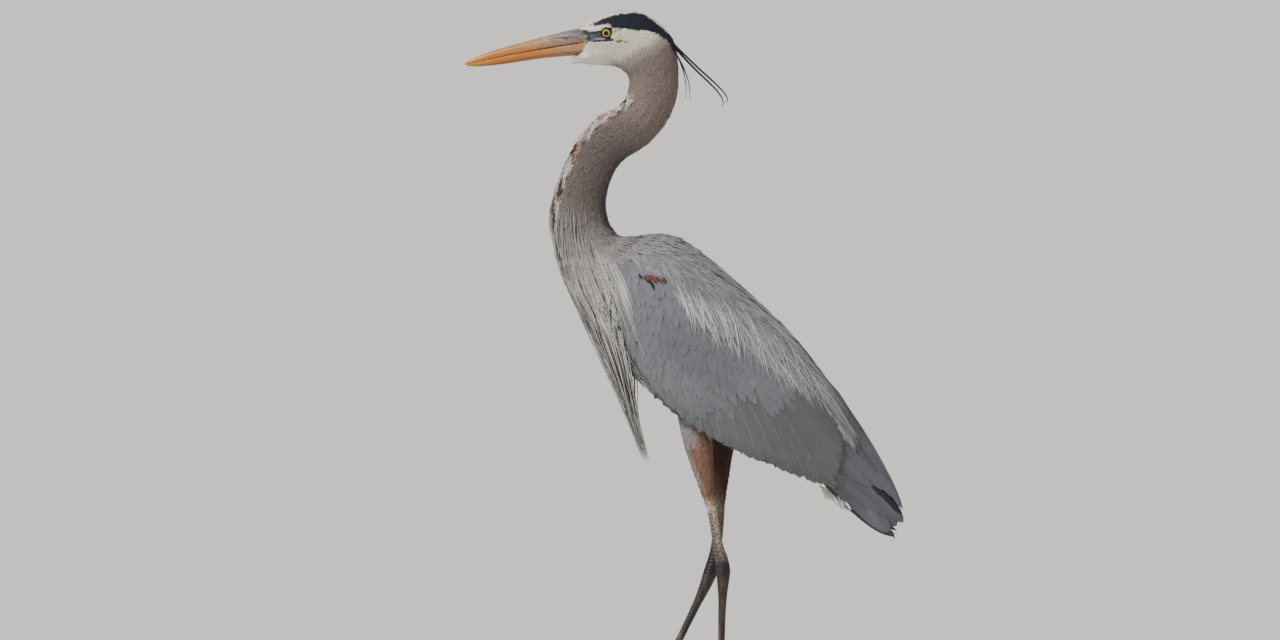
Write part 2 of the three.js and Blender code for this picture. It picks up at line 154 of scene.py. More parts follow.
# The camera sees the bird's left side, from a little above it: degrees for the elevation, and the width
# of what it sees at the aim.
cameraView = {"aimX": -75, "aimZ": 510, "elevation": 3, "away": 12000, "width": 1600, "sensor": 36,
              "clipEnd": 400}


def buildCamera():
    aim = Vector(toFrame([cameraView["aimX"], 0, cameraView["aimZ"]]))
    tilt = math.radians(cameraView["elevation"])
    away = cameraView["away"] / 1000
    camera = addObject("camera", bpy.data.cameras.new("camera"))
    camera.location = aim + away * Vector((0, -math.cos(tilt), math.sin(tilt)))
    camera.rotation_euler = (math.pi / 2 - tilt, 0, 0)
    camera.data.sensor_width = cameraView["sensor"]
    camera.data.lens = cameraView["sensor"] * cameraView["away"] / cameraView["width"]
    camera.data.clip_end = cameraView["clipEnd"]
    bpy.context.scene.camera = camera


stage = {"floor": "#e2e0db", "floorRoughness": 0.9, "halfSide": 150, "sun": 3.7, "sunSize": 8,
         "sunFrom": (-0.52, -0.47, 0.71), "sky": "#f3f4f6", "skyStrength": 0.42}


def buildStage():
    bm = bmesh.new()
    bmesh.ops.create_grid(bm, x_segments=1, y_segments=1, size=stage["halfSide"])
    floor = addObject("floor", meshFrom(bm, "floor"))
    paint, tree, shader = newMaterial("matt floor paint")
    setInputs(tree, shader, {"Base Color": fourOf(stage["floor"]), "Roughness": stage["floorRoughness"]})
    floor.data.materials.append(paint)

    sun = addObject("sun", bpy.data.lights.new("sun", "SUN"))
    sun.data.energy = stage["sun"]
    sun.data.angle = math.radians(stage["sunSize"])
    sun.rotation_euler = Vector(stage["sunFrom"]).to_track_quat("Z", "Y").to_euler()
    world = bpy.data.worlds.new("studio")
    world.use_nodes = True
    sky = world.node_tree.nodes["Background"]
    setInputs(world.node_tree, sky, {"Color": fourOf(stage["sky"]), "Strength": stage["skyStrength"]})
    bpy.context.scene.world = world


buildCamera()
buildStage()
print("camera, floor and light made")


# The solids that carry feathers, with the numbers of the regions that they are marked by.
regionNumber = {"head": 0, "neck_upper": 0, "neck_middle": 0, "neck_lower": 0, "trunk": 1, "left_wing": 2,
                "right_wing": 2, "tail": 3, "left_thigh": 4, "right_thigh": 4}
bareRegion = 5
feathered = list(regionNumber)
toeNames = [f"{side}_toe_{toe}" for side in ("left", "right")
            for toe in ("middle", "inner", "outer", "hind")]
bareLegs = [f"{side}_{part}" for side in ("left", "right") for part in ("shank", "tarsus", "foot")]

# Under x and z, then over x and z, of the middle line from the bill's root to the rump.
spine = [
    (-152, 834, -152, 876), (-138, 829, -139, 885), (-120, 828, -119, 893), (-104, 826, -92, 898),
    (-92, 818, -62, 889), (-89, 809, -34, 862), (-90, 799, -27, 825), (-94, 787, -28, 791),
    (-105, 776, -41, 758), (-121, 769, -65, 730), (-141, 751, -91, 714), (-162, 721, -107, 695),
    (-180, 676, -117, 665), (-188, 641, -116, 641), (-183, 601, -105, 619), (-168, 556, -79, 615),
    (-144, 512, -48, 619), (-112, 472, -10, 604), (-69, 424, 35, 567), (-8, 383, 84, 523),
    (53, 353, 129, 473), (114, 329, 166, 416), (160, 303, 196, 364), (182, 290, 208, 338),
]
spineSteps = 12
spinePlaces = np.arange((len(spine) - 1) * spineSteps + 1) / spineSteps
spineRows = curveAt(spine, spinePlaces)
spineUnder, spineOver = spineRows[:, :2], spineRows[:, 2:]
spineMiddle = (spineUnder + spineOver) / 2
spineAlong = unit(np.gradient(spineMiddle, axis=0))
spineLength = np.concatenate([[0], np.cumsum(np.linalg.norm(np.diff(spineMiddle, axis=0), axis=1))])


def nearestOnSpine(points, batch=20000):
    # the number of the nearest sample of the middle line
    found = np.empty(len(points), dtype=int)
    for start in range(0, len(points), batch):
        part = points[start:start + batch, [0, 2]]
        gaps = ((part[:, None, :] - spineMiddle[None]) ** 2).sum(-1)
        found[start:start + batch] = gaps.argmin(1)
    return found


def bodyPlace(points):
    # how far along the middle line a point is in millimetres, its angle round it, 0 at the throat and
    # pi at the back, and its place along the rows of the spine
    near = nearestOnSpine(points)
    up = unit(spineOver - spineUnder)[near]
    rise = ((points[:, [0, 2]] - spineMiddle[near]) * up).sum(-1)
    return spineLength[near], np.arctan2(points[:, 1], -rise), spinePlaces[near]


def joinInto(whole, bm):
    part = meshFrom(bm)
    whole.from_mesh(part)
    bpy.data.meshes.remove(part)


def copyNodes(names, grow, cutPlane=None):
    # the named solids in one bmesh, with their loose triangles merged and each grown a little
    whole = bmesh.new()
    for name in names:
        bm = bmesh.new()
        bm.from_mesh(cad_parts[name].data)
        bmesh.ops.remove_doubles(bm, verts=bm.verts, dist=1e-6)
        bm.normal_update()
        for vert in bm.verts:
            vert.co += vert.normal * grow / 1000
        if cutPlane:
            spot, normal = cutPlane
            bmesh.ops.bisect_plane(bm, geom=bm.verts[:] + bm.edges[:] + bm.faces[:], clear_outer=True,
                                   plane_co=toFrame(spot), plane_no=normal)
            rim = [edge for edge in bm.edges if edge.is_boundary]
            bmesh.ops.holes_fill(bm, edges=rim)
        joinInto(whole, bm)
    return whole


def applied(blank):
    # the mesh that a blank's modifier makes, in place of the blank
    mesh = blank.data
    ready = blank.evaluated_get(bpy.context.evaluated_depsgraph_get())
    made = bpy.data.meshes.new_from_object(ready)
    bpy.data.objects.remove(blank)
    bpy.data.meshes.remove(mesh)
    return made


def remeshed(bm, voxel):
    blank = addObject("blank", meshFrom(bm))
    remesh = blank.modifiers.new("remesh", "REMESH")
    remesh.mode = "VOXEL"
    remesh.voxel_size = voxel / 1000
    return applied(blank)


def meshArrays(mesh):
    points = np.empty(3 * len(mesh.vertices))
    mesh.vertices.foreach_get("co", points)
    mesh.calc_loop_triangles()
    triangles = np.empty(3 * len(mesh.loop_triangles), dtype=np.int32)
    mesh.loop_triangles.foreach_get("vertices", triangles)
    edges = np.empty(2 * len(mesh.edges), dtype=np.int32)
    mesh.edges.foreach_get("vertices", edges)
    return fromFrame(points.reshape(-1, 3)), triangles.reshape(-1, 3), edges.reshape(-1, 2)


def neighbourSums(values, edges):
    total = np.zeros_like(values)
    np.add.at(total, edges[:, 0], values[edges[:, 1]])
    np.add.at(total, edges[:, 1], values[edges[:, 0]])
    return total


def smoothed(points, edges, rounds, weight=None, inward=0.55, outward=0.57):
    # evens out a surface and gives back the volume that evening takes away
    count = np.bincount(edges.ravel(), minlength=len(points))[:, None]
    weight = 1 if weight is None else weight[:, None]
    for _ in range(rounds):
        for share in (inward, -outward):
            middle = neighbourSums(points, edges) / np.maximum(count, 1)
            points = points + weight * share * (middle - points)
    return points


def vertexNormals(points, triangles):
    a, b, c = (points[triangles[:, k]] for k in range(3))
    facing = np.cross(b - a, c - a)
    normals = np.zeros_like(points)
    for k in range(3):
        np.add.at(normals, triangles[:, k], facing)
    return unit(normals)


# Millimetres: how softly a face's three normals are mixed, the deepest reach through the form, and
# where the rays and searches from the side start.
surfaceValues = {"mix": 0.3, "deepest": 60.0, "inset": 0.5, "outside": 200, "within": 18}


class Surface:
    # a closed surface that can be sampled, asked for its nearest point and hit from the side
    def __init__(self, points, triangles):
        self.points, self.triangles = points, triangles
        self.normals = vertexNormals(points, triangles)
        self.tree = BVHTree.FromPolygons(points.tolist(), triangles.tolist())

    def normalsAt(self, faces, spots):
        corners = self.triangles[faces]
        away = np.linalg.norm(self.points[corners] - spots[:, None], axis=2)
        shares = 1 / (away + surfaceValues["mix"])
        return unit((self.normals[corners] * shares[..., None]).sum(1))

    def nearest(self, points):
        spots, faces = np.empty((len(points), 3)), np.empty(len(points), dtype=int)
        for i, point in enumerate(points):
            spots[i], _, faces[i], _ = self.tree.find_nearest(point)
        return spots, self.normalsAt(faces, spots)

    def thickness(self, spots, facings):
        # how far it is through the form from each spot to its other side
        through = np.full(len(spots), surfaceValues["deepest"])
        for i, (spot, facing) in enumerate(zip(spots, facings)):
            reach = self.tree.ray_cast(spot - surfaceValues["inset"] * facing, -facing)[3]
            if reach is not None:
                through[i] = reach
        return through

    def fromSide(self, points, side):
        # the outer surface as seen straight from one side of the bird; the nearest point where it misses
        spots, faces = np.empty((len(points), 3)), np.empty(len(points), dtype=int)
        for i, (x, _, z) in enumerate(points):
            start = (x, side * surfaceValues["outside"], z)
            spot, _, face, _ = self.tree.ray_cast(start, (0, -side, 0))
            if spot is None or spot[1] * side < 0:
                spot, _, face, _ = self.tree.find_nearest((x, side * surfaceValues["within"], z))
            spots[i], faces[i] = spot, face
        return spots, self.normalsAt(faces, spots)


envelopeValues = {"grow": 0.45, "voxel": 2.6, "rounds": 6, "onBill": 0.5}


def buildEnvelope():
    mesh = remeshed(copyNodes(feathered, envelopeValues["grow"]), envelopeValues["voxel"])
    points, triangles, edges = meshArrays(mesh)
    bpy.data.meshes.remove(mesh)
    even = smoothed(points, edges, envelopeValues["rounds"])
    return Surface(ontoBill(even, envelopeValues["onBill"]), triangles)


def nodeTree(names):
    # one tree over the named solids, with the number of the solid that each face belongs to
    points, faces, owners = [], [], []
    for number, name in enumerate(names):
        found, triangles, _ = meshArrays(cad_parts[name].data)
        faces += (triangles + len(points)).tolist()
        points += found.tolist()
        owners += [number] * len(triangles)
    return BVHTree.FromPolygons(points, faces), np.array(owners)


def ownersOf(points, names):
    # the number of the named solid that is nearest to each point
    tree, owners = nodeTree(names)
    return owners[[tree.find_nearest(point)[2] for point in points.tolist()]]


billTree, _ = nodeTree(["upper_bill", "lower_bill"])
# Where the face runs out onto the bill: the x where it starts at each of two heights, the x where it is
# flush, and the heights over which the chin joins in.
billEdge = {"z": (866, 873), "start": (-135, -147), "end": -151.5, "chin": (838, 843)}


def ontoBill(points, least):
    # the front of the face thins out until it lies flush on the root of the bill
    points = points.copy()
    start = np.interp(points[:, 2], billEdge["z"], billEdge["start"])
    flush = smoothStep(start, billEdge["end"], points[:, 0]) * smoothStep(*billEdge["chin"], points[:, 2])
    for i in np.flatnonzero(flush > 0.01):
        spot, _, _, away = billTree.find_nearest(points[i])
        if away > least:
            kept = 1 - flush[i] + flush[i] * least / away
            points[i] = np.array(spot) + (points[i] - np.array(spot)) * kept
    return points


# x, then the heights of the culmen, the mouth line and the lower edge, then half width.
bill = [
    (-136, 876, 857.5, 842.5, 8.5), (-157, 873.5, 855.5, 840.5, 9.6), (-188, 866, 850.5, 838, 8.2),
    (-211, 860, 846.3, 835, 7), (-244, 851, 840.3, 830, 5.2), (-266, 843.8, 835, 827.6, 3.7),
    (-284, 836.5, 831.2, 826.9, 2), (-293, 831.9, 830.5, 828.6, 0.6),
]
billFront = [-row[0] for row in bill]

envelope = buildEnvelope()
envelopeRegion = np.array(list(regionNumber.values()))[ownersOf(envelope.points, feathered)]
_, envelopeAround, envelopePlace = bodyPlace(envelope.points)
envelopeAround = np.abs(envelopeAround)
print("envelope", len(envelope.points), "points")


plumage = {
    "white": "#e9e5db", "cream": "#ddd3bc", "lilac": "#998d86", "mauve": "#7b6d66", "neck": "#655a56",
    "neckFoot": "#8b8583", "crown": "#1b1e2b", "rust": "#8a6148", "chestnut": "#6a3d31",
    "mantle": "#898689", "wing": "#6f7074", "flight": "#63656c", "slate": "#3a3b42",
    "plume": "#c9c5bd", "black": "#19191c", "belly": "#2a2a2d", "thigh": "#7c5b49", "shank": "#b5a387",
    "leg": "#2a221d", "legPale": "#665640", "lore": "#2e3238", "lorePale": "#8b8f9c", "loreSpot": "#a3a544",
    "lid": "#1c1d1c", "billSkin": "#9b8f8b", "billLow": "#b5824f", "billFlesh": "#b48a76",
    "billGold": "#b56a1e", "billBrown": "#8f4f16", "billStreak": "#544a4c",
}
tint = {name: linear(colour) for name, colour in plumage.items()}
# Large odd numbers that mix a cell's three numbers and the seed, and then the result.
mixers = (73856093, 19349663, 83492791, 2654435761, 1274126177)


def noiseAt(points, size, seed=0):
    # smooth noise from 0 to 1, with lumps of about the given size in millimetres
    place = np.asarray(points) / size + 1000 + 17.3 * seed
    cell = np.floor(place).astype(np.int64)
    t = place - cell
    t = t * t * (3 - 2 * t)
    total = np.zeros(len(place))
    for corner in range(8):
        step = np.array([corner & 1, (corner >> 1) & 1, (corner >> 2) & 1])
        at = cell + step
        mixed = (at[:, 0] * mixers[0]) ^ (at[:, 1] * mixers[1]) ^ (at[:, 2] * mixers[2]) ^ (seed * mixers[3])
        mixed = (mixed ^ (mixed >> 13)) * mixers[4]
        value = ((mixed ^ (mixed >> 16)) & 0xffff) / 65535
        total += value * np.prod(np.where(step, t, 1 - t), axis=1)
    return total


def streaksAt(seed, *columns):
    # noise whose lumps are drawn out: each column is a place divided by the length that it should have
    return noiseAt(np.stack(columns, 1), 1, seed)


def plain(name, points):
    return np.tile(tint[name], (len(points), 1))


def blended(base, colour, share):
    # towards a colour, or towards the plumage colour of that name
    colour = tint[colour] if isinstance(colour, str) else colour
    return base + (colour - base) * np.asarray(share)[:, None]


def layered(colour, *layers):
    for paint, share in layers:
        colour = blended(colour, paint, share)
    return colour


# Every marking fades in between two places, which smoothStep takes in this order: where it begins and
# where it is full. They are millimetres for x, y, z and lengths, radians for angles round the body, and
# rows of the spine for places along it. A noise's last number is its seed.

# Crown stripe edges and the brow patch, as x and z on the side of the head.
stripeTop = np.array([(-138, 879), (-126, 885), (-106, 892), (-86, 895), (-75, 893.5), (-63, 887),
                      (-52, 878.5), (-38.8, 868.2), (-30, 860)])
stripeFoot = np.array([(-138, 877.6), (-117, 877.6), (-108, 873.4), (-97, 874.3), (-75, 874.3),
                       (-63, 873.2), (-54.5, 868.7), (-46.7, 865.9), (-38.8, 860), (-30, 850)])
brow = {"x": -128.5, "z": 875.8, "halfLength": 11, "halfHeight": 2.3, "tilt": 0.2}
mouthLine = {"from": -137, "to": -92, "z": 857.9, "tilt": 0.03, "sag": 0.32}
# The upper edge of the bare lores, as x and z, with the drop of bare skin under the eye behind it.
loreTop = ([-156, -150, -143, -138, -128, -121, -116, -108, -104],
           [870, 874, 873.6, 871.5, 872.6, 875, 866, 861.5, 859.5])


def mouthHeight(x):
    return mouthLine["z"] + mouthLine["tilt"] * (x - mouthLine["from"])


def beforeCheek(x, z):
    # below zero in front of the slanting edge of the cheek's feathers
    return x + 139.4 + 0.57 * (858.7 - z)


def eyeFrame(side):
    centre = np.array([eye["x"], side * eye["y"], eye["z"]])
    gaze = unit(np.array([eye["gaze"][0], side, eye["gaze"][1]]))
    return centre, gaze


def aroundEye(points, side):
    # how far points are from the eye's centre, in which direction, and at how many degrees from its gaze
    centre, gaze = eyeFrame(side)
    away = points - centre
    facing = unit(away)
    return np.linalg.norm(away, axis=1), facing, np.degrees(np.arccos(np.clip(facing @ gaze, -1, 1)))


def headColour(points):
    x, y, z = points.T
    wander = 2.2 * (noiseAt(points, 3.5, 1) - 0.5)
    turn = 0.55 * (x + 95) - 0.85 * (z - 850) + 6 * (noiseAt(points, 9, 2) - 0.5)
    top = np.interp(x, *stripeTop.T) + 0.4 * wander
    foot = np.interp(x, *stripeFoot.T) + 0.7 * wander
    crown = smoothStep(foot - 0.9, foot + 0.7, z) * smoothStep(top + 1.4, top - 0.2, z)
    crown *= smoothStep(-138.5, -133, x)
    overCrown = smoothStep(top - 0.2, top + 1.4, z) * smoothStep(-38, -50, x)
    nape = smoothStep(-48, -38, x) * smoothStep(846, 856, z)
    behindMouth = smoothStep(2, 0.8, np.abs(z - mouthHeight(x)))
    behindMouth *= smoothStep(-112, -107, x) * smoothStep(-88, -98, x)
    slope = z - np.interp(x, [-147, -126], [873.5, 884.5])
    streaked = smoothStep(0.42, 0.62, streaksAt(22, x / 5, y / 2.5, slope / 1.1))
    forehead = smoothStep(2.6, 1.2, np.abs(slope)) * smoothStep(-150, -146, x) * smoothStep(-124, -128, x)
    alongBrow = x - brow["x"]
    overBrow = z - brow["z"] - brow["tilt"] * alongBrow
    patch = (alongBrow / brow["halfLength"]) ** 2 + (overBrow / brow["halfHeight"]) ** 2
    return layered(plain("cream", points),
                   ("white", smoothStep(-118, -132, x) * smoothStep(852, 846, z)),
                   ("lilac", smoothStep(1, 13, turn)),
                   ("mauve", smoothStep(12, 25, turn)),
                   ("white", smoothStep(871, 875, z) * smoothStep(-60, -75, x)),
                   ("white", overCrown),
                   ("crown", crown),
                   ("crown", nape * smoothStep(13, 8, np.abs(y))),
                   ("lid", 0.92 * behindMouth),
                   ("slate", 0.85 * forehead * streaked * smoothStep(3, 5, np.abs(y))),
                   ("white", smoothStep(1.25, 0.75, patch)))


def faceMarks(points, colour):
    # the bare skin of the face: lores, mouth line and lids
    x, _, z = points.T
    wander = 1.4 * (noiseAt(points, 2.2, 3) - 0.5)
    low = 858.2 + wander
    high = np.interp(x, *loreTop) + wander
    lore = smoothStep(low - 0.5, low + 0.5, z) * smoothStep(high + 0.6, high - 0.6, z)
    lore *= smoothStep(-104, -107, x)
    streak = noiseAt(points * [0.25, 0.6, 1.6], 2.2, 4)
    pale = smoothStep(0.5, 0.8, noiseAt(points * [0.3, 0.6, 1.3], 2.4, 17)) * smoothStep(866, 860, z)
    underEye = ((x + 126) / 8.5) ** 2 + ((z - 861.9) / 1.5) ** 2
    pale = np.maximum(0.9 * pale * smoothStep(-124, -130, x), smoothStep(1.3, 0.5, underEye))
    shade = layered(tint["lore"] * (0.45 + 1.1 * streak)[:, None],
                    ("lorePale", 0.8 * pale),
                    (tint["billSkin"] * (0.7 + 0.5 * streak)[:, None], smoothStep(-145, -150, x)))
    spot = np.hypot((x + 145.2) / 4.6, (z - 864.6 - 0.1 * (x + 146)) / 2.4)
    chin = smoothStep(1, -1, beforeCheek(x, z)) * smoothStep(858.6, 857.2, z) * smoothStep(838.5, 840, z)
    start, end = mouthLine["from"], mouthLine["to"]
    line = mouthHeight(x) + mouthLine["sag"] * np.minimum(x - start, 0) * (x < start)
    width = np.interp(x, [-153, start, -122, -112, end], [0.3, 0.9, 1.2, 1.1, 0.2])
    inLine = smoothStep(width + 0.5, width - 0.2, np.abs(z - line)) * smoothStep(end + 2, end - 6, x)
    colour = layered(colour, (shade, lore), ("loreSpot", 0.85 * smoothStep(1.3, 0.5, spot)),
                     ("billLow", chin), ("lid", 0.9 * inLine))
    for side, _ in sides:
        far, _, angle = aroundEye(points, side)
        colour = blended(colour, "lid", (far < 13) * smoothStep(48.5, 45, angle))
    return colour


def neckColour(points, length, angle, place):
    streaks = streaksAt(6, length / 26, angle * 6.5, 0 * angle)
    colour = layered(plain("mauve", points),
                     ("neck", smoothStep(7.5, 9.5, place + noiseAt(points, 25, 5) - 0.5)),
                     ("neckFoot", smoothStep(11.5, 14.5, place))) * (0.93 + 0.14 * streaks)[:, None]
    outward = 26 * np.abs(angle) + 3.5 * (noiseAt(points, 7, 7) - 0.5)
    front = smoothStep(6.5, 7.3, place) * smoothStep(16, 14.4, place)
    slant = outward - 0.24 * length
    tan = smoothStep(0.46, 0.6, streaksAt(18, length / 15, slant / 3.2, 0 * slant))
    tan *= smoothStep(3, 7, outward) * smoothStep(20, 16, outward)
    dashes = smoothStep(0.53, 0.62, streaksAt(8, length / 15, slant / 2.7, 0 * slant))
    dashes *= smoothStep(1, 3, outward) * smoothStep(19, 15, outward)
    # slate down the back of the middle neck: partly the feathers' own dark, partly painted shade
    back = smoothStep(2.5, 2.95, np.abs(angle)) * smoothStep(8, 9.5, place) * smoothStep(14.5, 13, place)
    return layered(colour,
                   ("white", front * (0.9 - 0.4 * smoothStep(8, 10.5, place)) * smoothStep(18, 14, outward)),
                   ("rust", 0.75 * front * tan * smoothStep(13.8, 12.4, place)),
                   ("black", 0.93 * front * dashes),
                   ("slate", 0.75 * back))


def trunkColour(points, angle, place):
    x, y, z = points.T
    around = np.abs(angle)
    breast = smoothStep(2.0, 1.6, around) * smoothStep(18, 16.6, place)
    dark = smoothStep(0.52, 0.68, streaksAt(10, x / 3.5, y / 3.5, z / 26))
    belly = smoothStep(1.55, 1.25, around) * smoothStep(16.4, 17.4, place)
    middle = smoothStep(0.5, 0.3, around + 0.15 * (noiseAt(points, 12, 11) - 0.5))
    return layered(plain("mantle", points),
                   ("neckFoot", smoothStep(16.6, 14.6, place - 0.4 * (noiseAt(points, 20, 9) - 0.5))),
                   ("plume", 0.55 * breast),
                   ("black", breast * dark * smoothStep(15.2, 16.2, place)),
                   ("belly", belly),
                   ("plume", belly * middle * smoothStep(17.2, 18, place)),
                   ("white", 0.8 * smoothStep(20.6, 21.6, place) * smoothStep(1.4, 1.1, around)))


def paintedInnerShade(y):
    # painted shade: the inner sides of the legs, which face the body and lie in its shadow, are darkened
    return (1 - 0.76 * smoothStep(34, 26, np.abs(y)))[:, None]


def thighColour(points):
    x, y, z = points.T
    colour = plain("thigh", points) * (0.8 + 0.4 * noiseAt(points * [1, 1, 0.3], 3, 12))[:, None]
    fore = x - np.interp(z, [278, 300, 350, 402], [7.6, 0, -18.5, -30]) - 3 * noiseAt(points, 7, 23)
    # the inner side of the thigh is darkened with painted shade
    return layered(colour,
                   ("neckFoot", 0.75 * smoothStep(8, 2, fore) * smoothStep(296, 316, z)),
                   ("mantle", 0.8 * smoothStep(350, 362, z + 0.5 * x) * smoothStep(2, -10, x)),
                   ("shank", smoothStep(302, 284, z + 8 * (noiseAt(points, 6, 13) - 0.5)))) * paintedInnerShade(y)


def legColour(points):
    # pale and scaled above the heel, dark brown and clouded below it
    x, y, z = points.T
    scales = smoothStep(0.4, 0.56, noiseAt(points * [1, 1, 0.8], 1.5, 14))
    scales *= smoothStep(278, 240, z + 10 * (noiseAt(points, 5, 20) - 0.5))
    pale = layered(plain("shank", points),
                   (tint["legPale"] * 0.5, 0.5 * scales),
                   (tint["billSkin"] * 0.6, 0.6 * smoothStep(270, 214, z)))
    cloud = noiseAt(points * [1, 1, 0.35], 7, 19)
    dark = blended(plain("leg", points), "legPale", 0.8 * smoothStep(0.5, 0.8, cloud))
    heel = smoothStep(14, 6, np.abs(z - 198)) + smoothStep(16, 8, z)
    amber = smoothStep(30, 8, np.abs(z - 168)) * smoothStep(0.5, 0.75, noiseAt(points * [1, 1, 0.2], 3, 26))
    colour = layered(dark,
                     (pale, smoothStep(205, 236, z + 14 * (noiseAt(points, 9, 15) - 0.5))),
                     (tint["leg"] * 0.7, np.clip(heel, 0, 1)),
                     (tint["billLow"] * 0.4, 0.45 * amber * smoothStep(-10, 10, x)))
    # above the heel the inner side of the leg is darkened with painted shade
    return np.where((z > 190)[:, None], colour * paintedInnerShade(y), colour)


def plumageColour(points, region):
    # region: 0 head and neck, 1 trunk, 2 wing, 3 tail, 4 thigh, 5 bare leg
    points = np.asarray(points, dtype=float)
    length, angle, place = bodyPlace(points)
    colour = layered(headColour(points),
                     (neckColour(points, length, angle, place), smoothStep(5.3, 6.2, place)),
                     (trunkColour(points, angle, place), smoothStep(13.8, 15, place)))
    wing = plain("wing", points) * (0.95 + 0.1 * noiseAt(points, 30, 16))[:, None]
    for number, other in ((2, wing), (3, plain("flight", points)), (4, thighColour(points)),
                          (bareRegion, legColour(points))):
        colour = np.where((region == number)[:, None], other, colour)
    return colour


def addPiece(name, mesh, material, replaced=()):
    piece = addObject(name, mesh)
    mesh.materials.clear()
    mesh.materials.append(material)
    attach(piece, "root")
    if replaced:
        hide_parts(*replaced)
    return piece


def addColours(mesh, colour):
    shades = mesh.attributes.new("plumage", "FLOAT_COLOR", "POINT")
    shades.data.foreach_set("color", np.column_stack([colour, np.ones(len(colour))]).ravel())


def arrayMesh(name, points, triangles, colour, bake=None, vane=None, normals=None, twoSided=False):
    mesh = bpy.data.meshes.new(name)
    mesh.vertices.add(len(points))
    mesh.vertices.foreach_set("co", toFrame(points).ravel())
    mesh.loops.add(3 * len(triangles))
    mesh.loops.foreach_set("vertex_index", np.ascontiguousarray(triangles, dtype=np.int32).ravel())
    mesh.polygons.add(len(triangles))
    mesh.polygons.foreach_set("loop_start", np.arange(0, 3 * len(triangles), 3, dtype=np.int32))
    mesh.update(calc_edges=True)
    shadeSmooth(mesh)
    addColours(mesh, colour)
    corners = triangles.ravel()
    for label, places in (("OFBake", bake), ("vane", vane)):
        if places is not None:
            mesh.uv_layers.new(name=label).uv.foreach_set("vector", places[corners].ravel())
    if normals is not None and twoSided:
        # a corner whose soft normal points into its own face takes the mirrored one
        a, b, c = (points[triangles[:, k]] for k in range(3))
        flat = unit(np.cross(b - a, c - a))[:, None]
        soft = unit(normals)[triangles]
        soft = soft - 2 * np.minimum((soft * flat).sum(-1, keepdims=True), 0) * flat
        mesh.normals_split_custom_set(soft.reshape(-1, 3))
    elif normals is not None:
        mesh.normals_split_custom_set_from_vertices(unit(normals))
    return mesh


# How deep the skin lies under the tips of the feathers, on each feathered solid.
coatDepth = {"head": 0.9, "neck_upper": 1.8, "neck_middle": 2.2, "neck_lower": 2.8, "trunk": 4,
             "left_wing": 4, "right_wing": 4, "tail": 4, "left_thigh": 1.3, "right_thigh": 1.3}
# Millimetres, but for the shares: keep is how many faces stay where the skin is plain, room how much of the
# form's thickness the skin may sink by, and share how much of the coat's depth it always sinks by.
skinValues = {"grow": 0.45, "growLegs": 0.2, "growBill": 0.6, "voxel": 1.6, "keep": 0.42,
              "rump": ((184, 0, 317), (0.776, 0, -0.63)), "billRoot": ((-151, 0, 855), (-1, 0, 0)),
              "evenRounds": 8, "depthRounds": 25, "room": 0.42, "share": 0.85, "rumpDepth": 4, "most": 8,
              "onBill": 0.12}
# Ellipsoids about each eye where the skin is refined: how far out from its centre, then half lengths.
refinedAt = ((4, (24, 12, 17)), (5, (11, 9, 11)))
# Millimetres, and degrees from the eye's gaze for the aperture and for how much its upper edge closes it.
faceValues = {"loreDepth": 0.9, "creaseDepth": 0.8, "furrowDepth": 0.5, "aperture": 40, "upperLower": 5,
              "lid": 0.45, "lidRound": 0.25, "lidFold": 0.2, "behindEye": 1.4, "reach": 16}
fleshNames = feathered + bareLegs + toeNames


def skinBlank():
    grow = skinValues["grow"]
    bm = copyNodes(["left_wing", "right_wing", "tail"], grow, skinValues["rump"])
    joinInto(bm, copyNodes(["head", "neck_upper", "neck_middle", "neck_lower", "trunk"], grow))
    joinInto(bm, copyNodes(["left_thigh", "right_thigh", "left_eye", "right_eye"], grow))
    joinInto(bm, copyNodes(bareLegs + toeNames, skinValues["growLegs"]))
    joinInto(bm, copyNodes(["upper_bill", "lower_bill"], skinValues["growBill"], skinValues["billRoot"]))
    return remeshed(bm, skinValues["voxel"])


def thinned(mesh, keep, weights):
    # fewer faces where the weight is high
    blank = addObject("blank", mesh)
    group = blank.vertex_groups.new(name="thin")
    for level in np.unique(weights):
        group.add(np.flatnonzero(weights == level).tolist(), float(level), "REPLACE")
    decimate = blank.modifiers.new("thin", "DECIMATE")
    decimate.ratio = keep
    decimate.vertex_group = "thin"
    return applied(blank)


def refined(mesh, centre, radii):
    # splits the faces inside an ellipsoid, so that they can hold finer forms
    bm = bmesh.new()
    bm.from_mesh(mesh)
    points = fromFrame([vert.co for vert in bm.verts])
    inside = (((points - centre) / radii) ** 2).sum(1) < 1
    bm.verts.ensure_lookup_table()
    edges = [edge for edge in bm.edges if inside[edge.verts[0].index] and inside[edge.verts[1].index]]
    bmesh.ops.subdivide_edges(bm, edges=edges, cuts=1, use_grid_fill=True, smooth=0.4)
    bmesh.ops.triangulate(bm, faces=[face for face in bm.faces if len(face.verts) > 4])
    bm.to_mesh(mesh)
    bm.free()
    return mesh


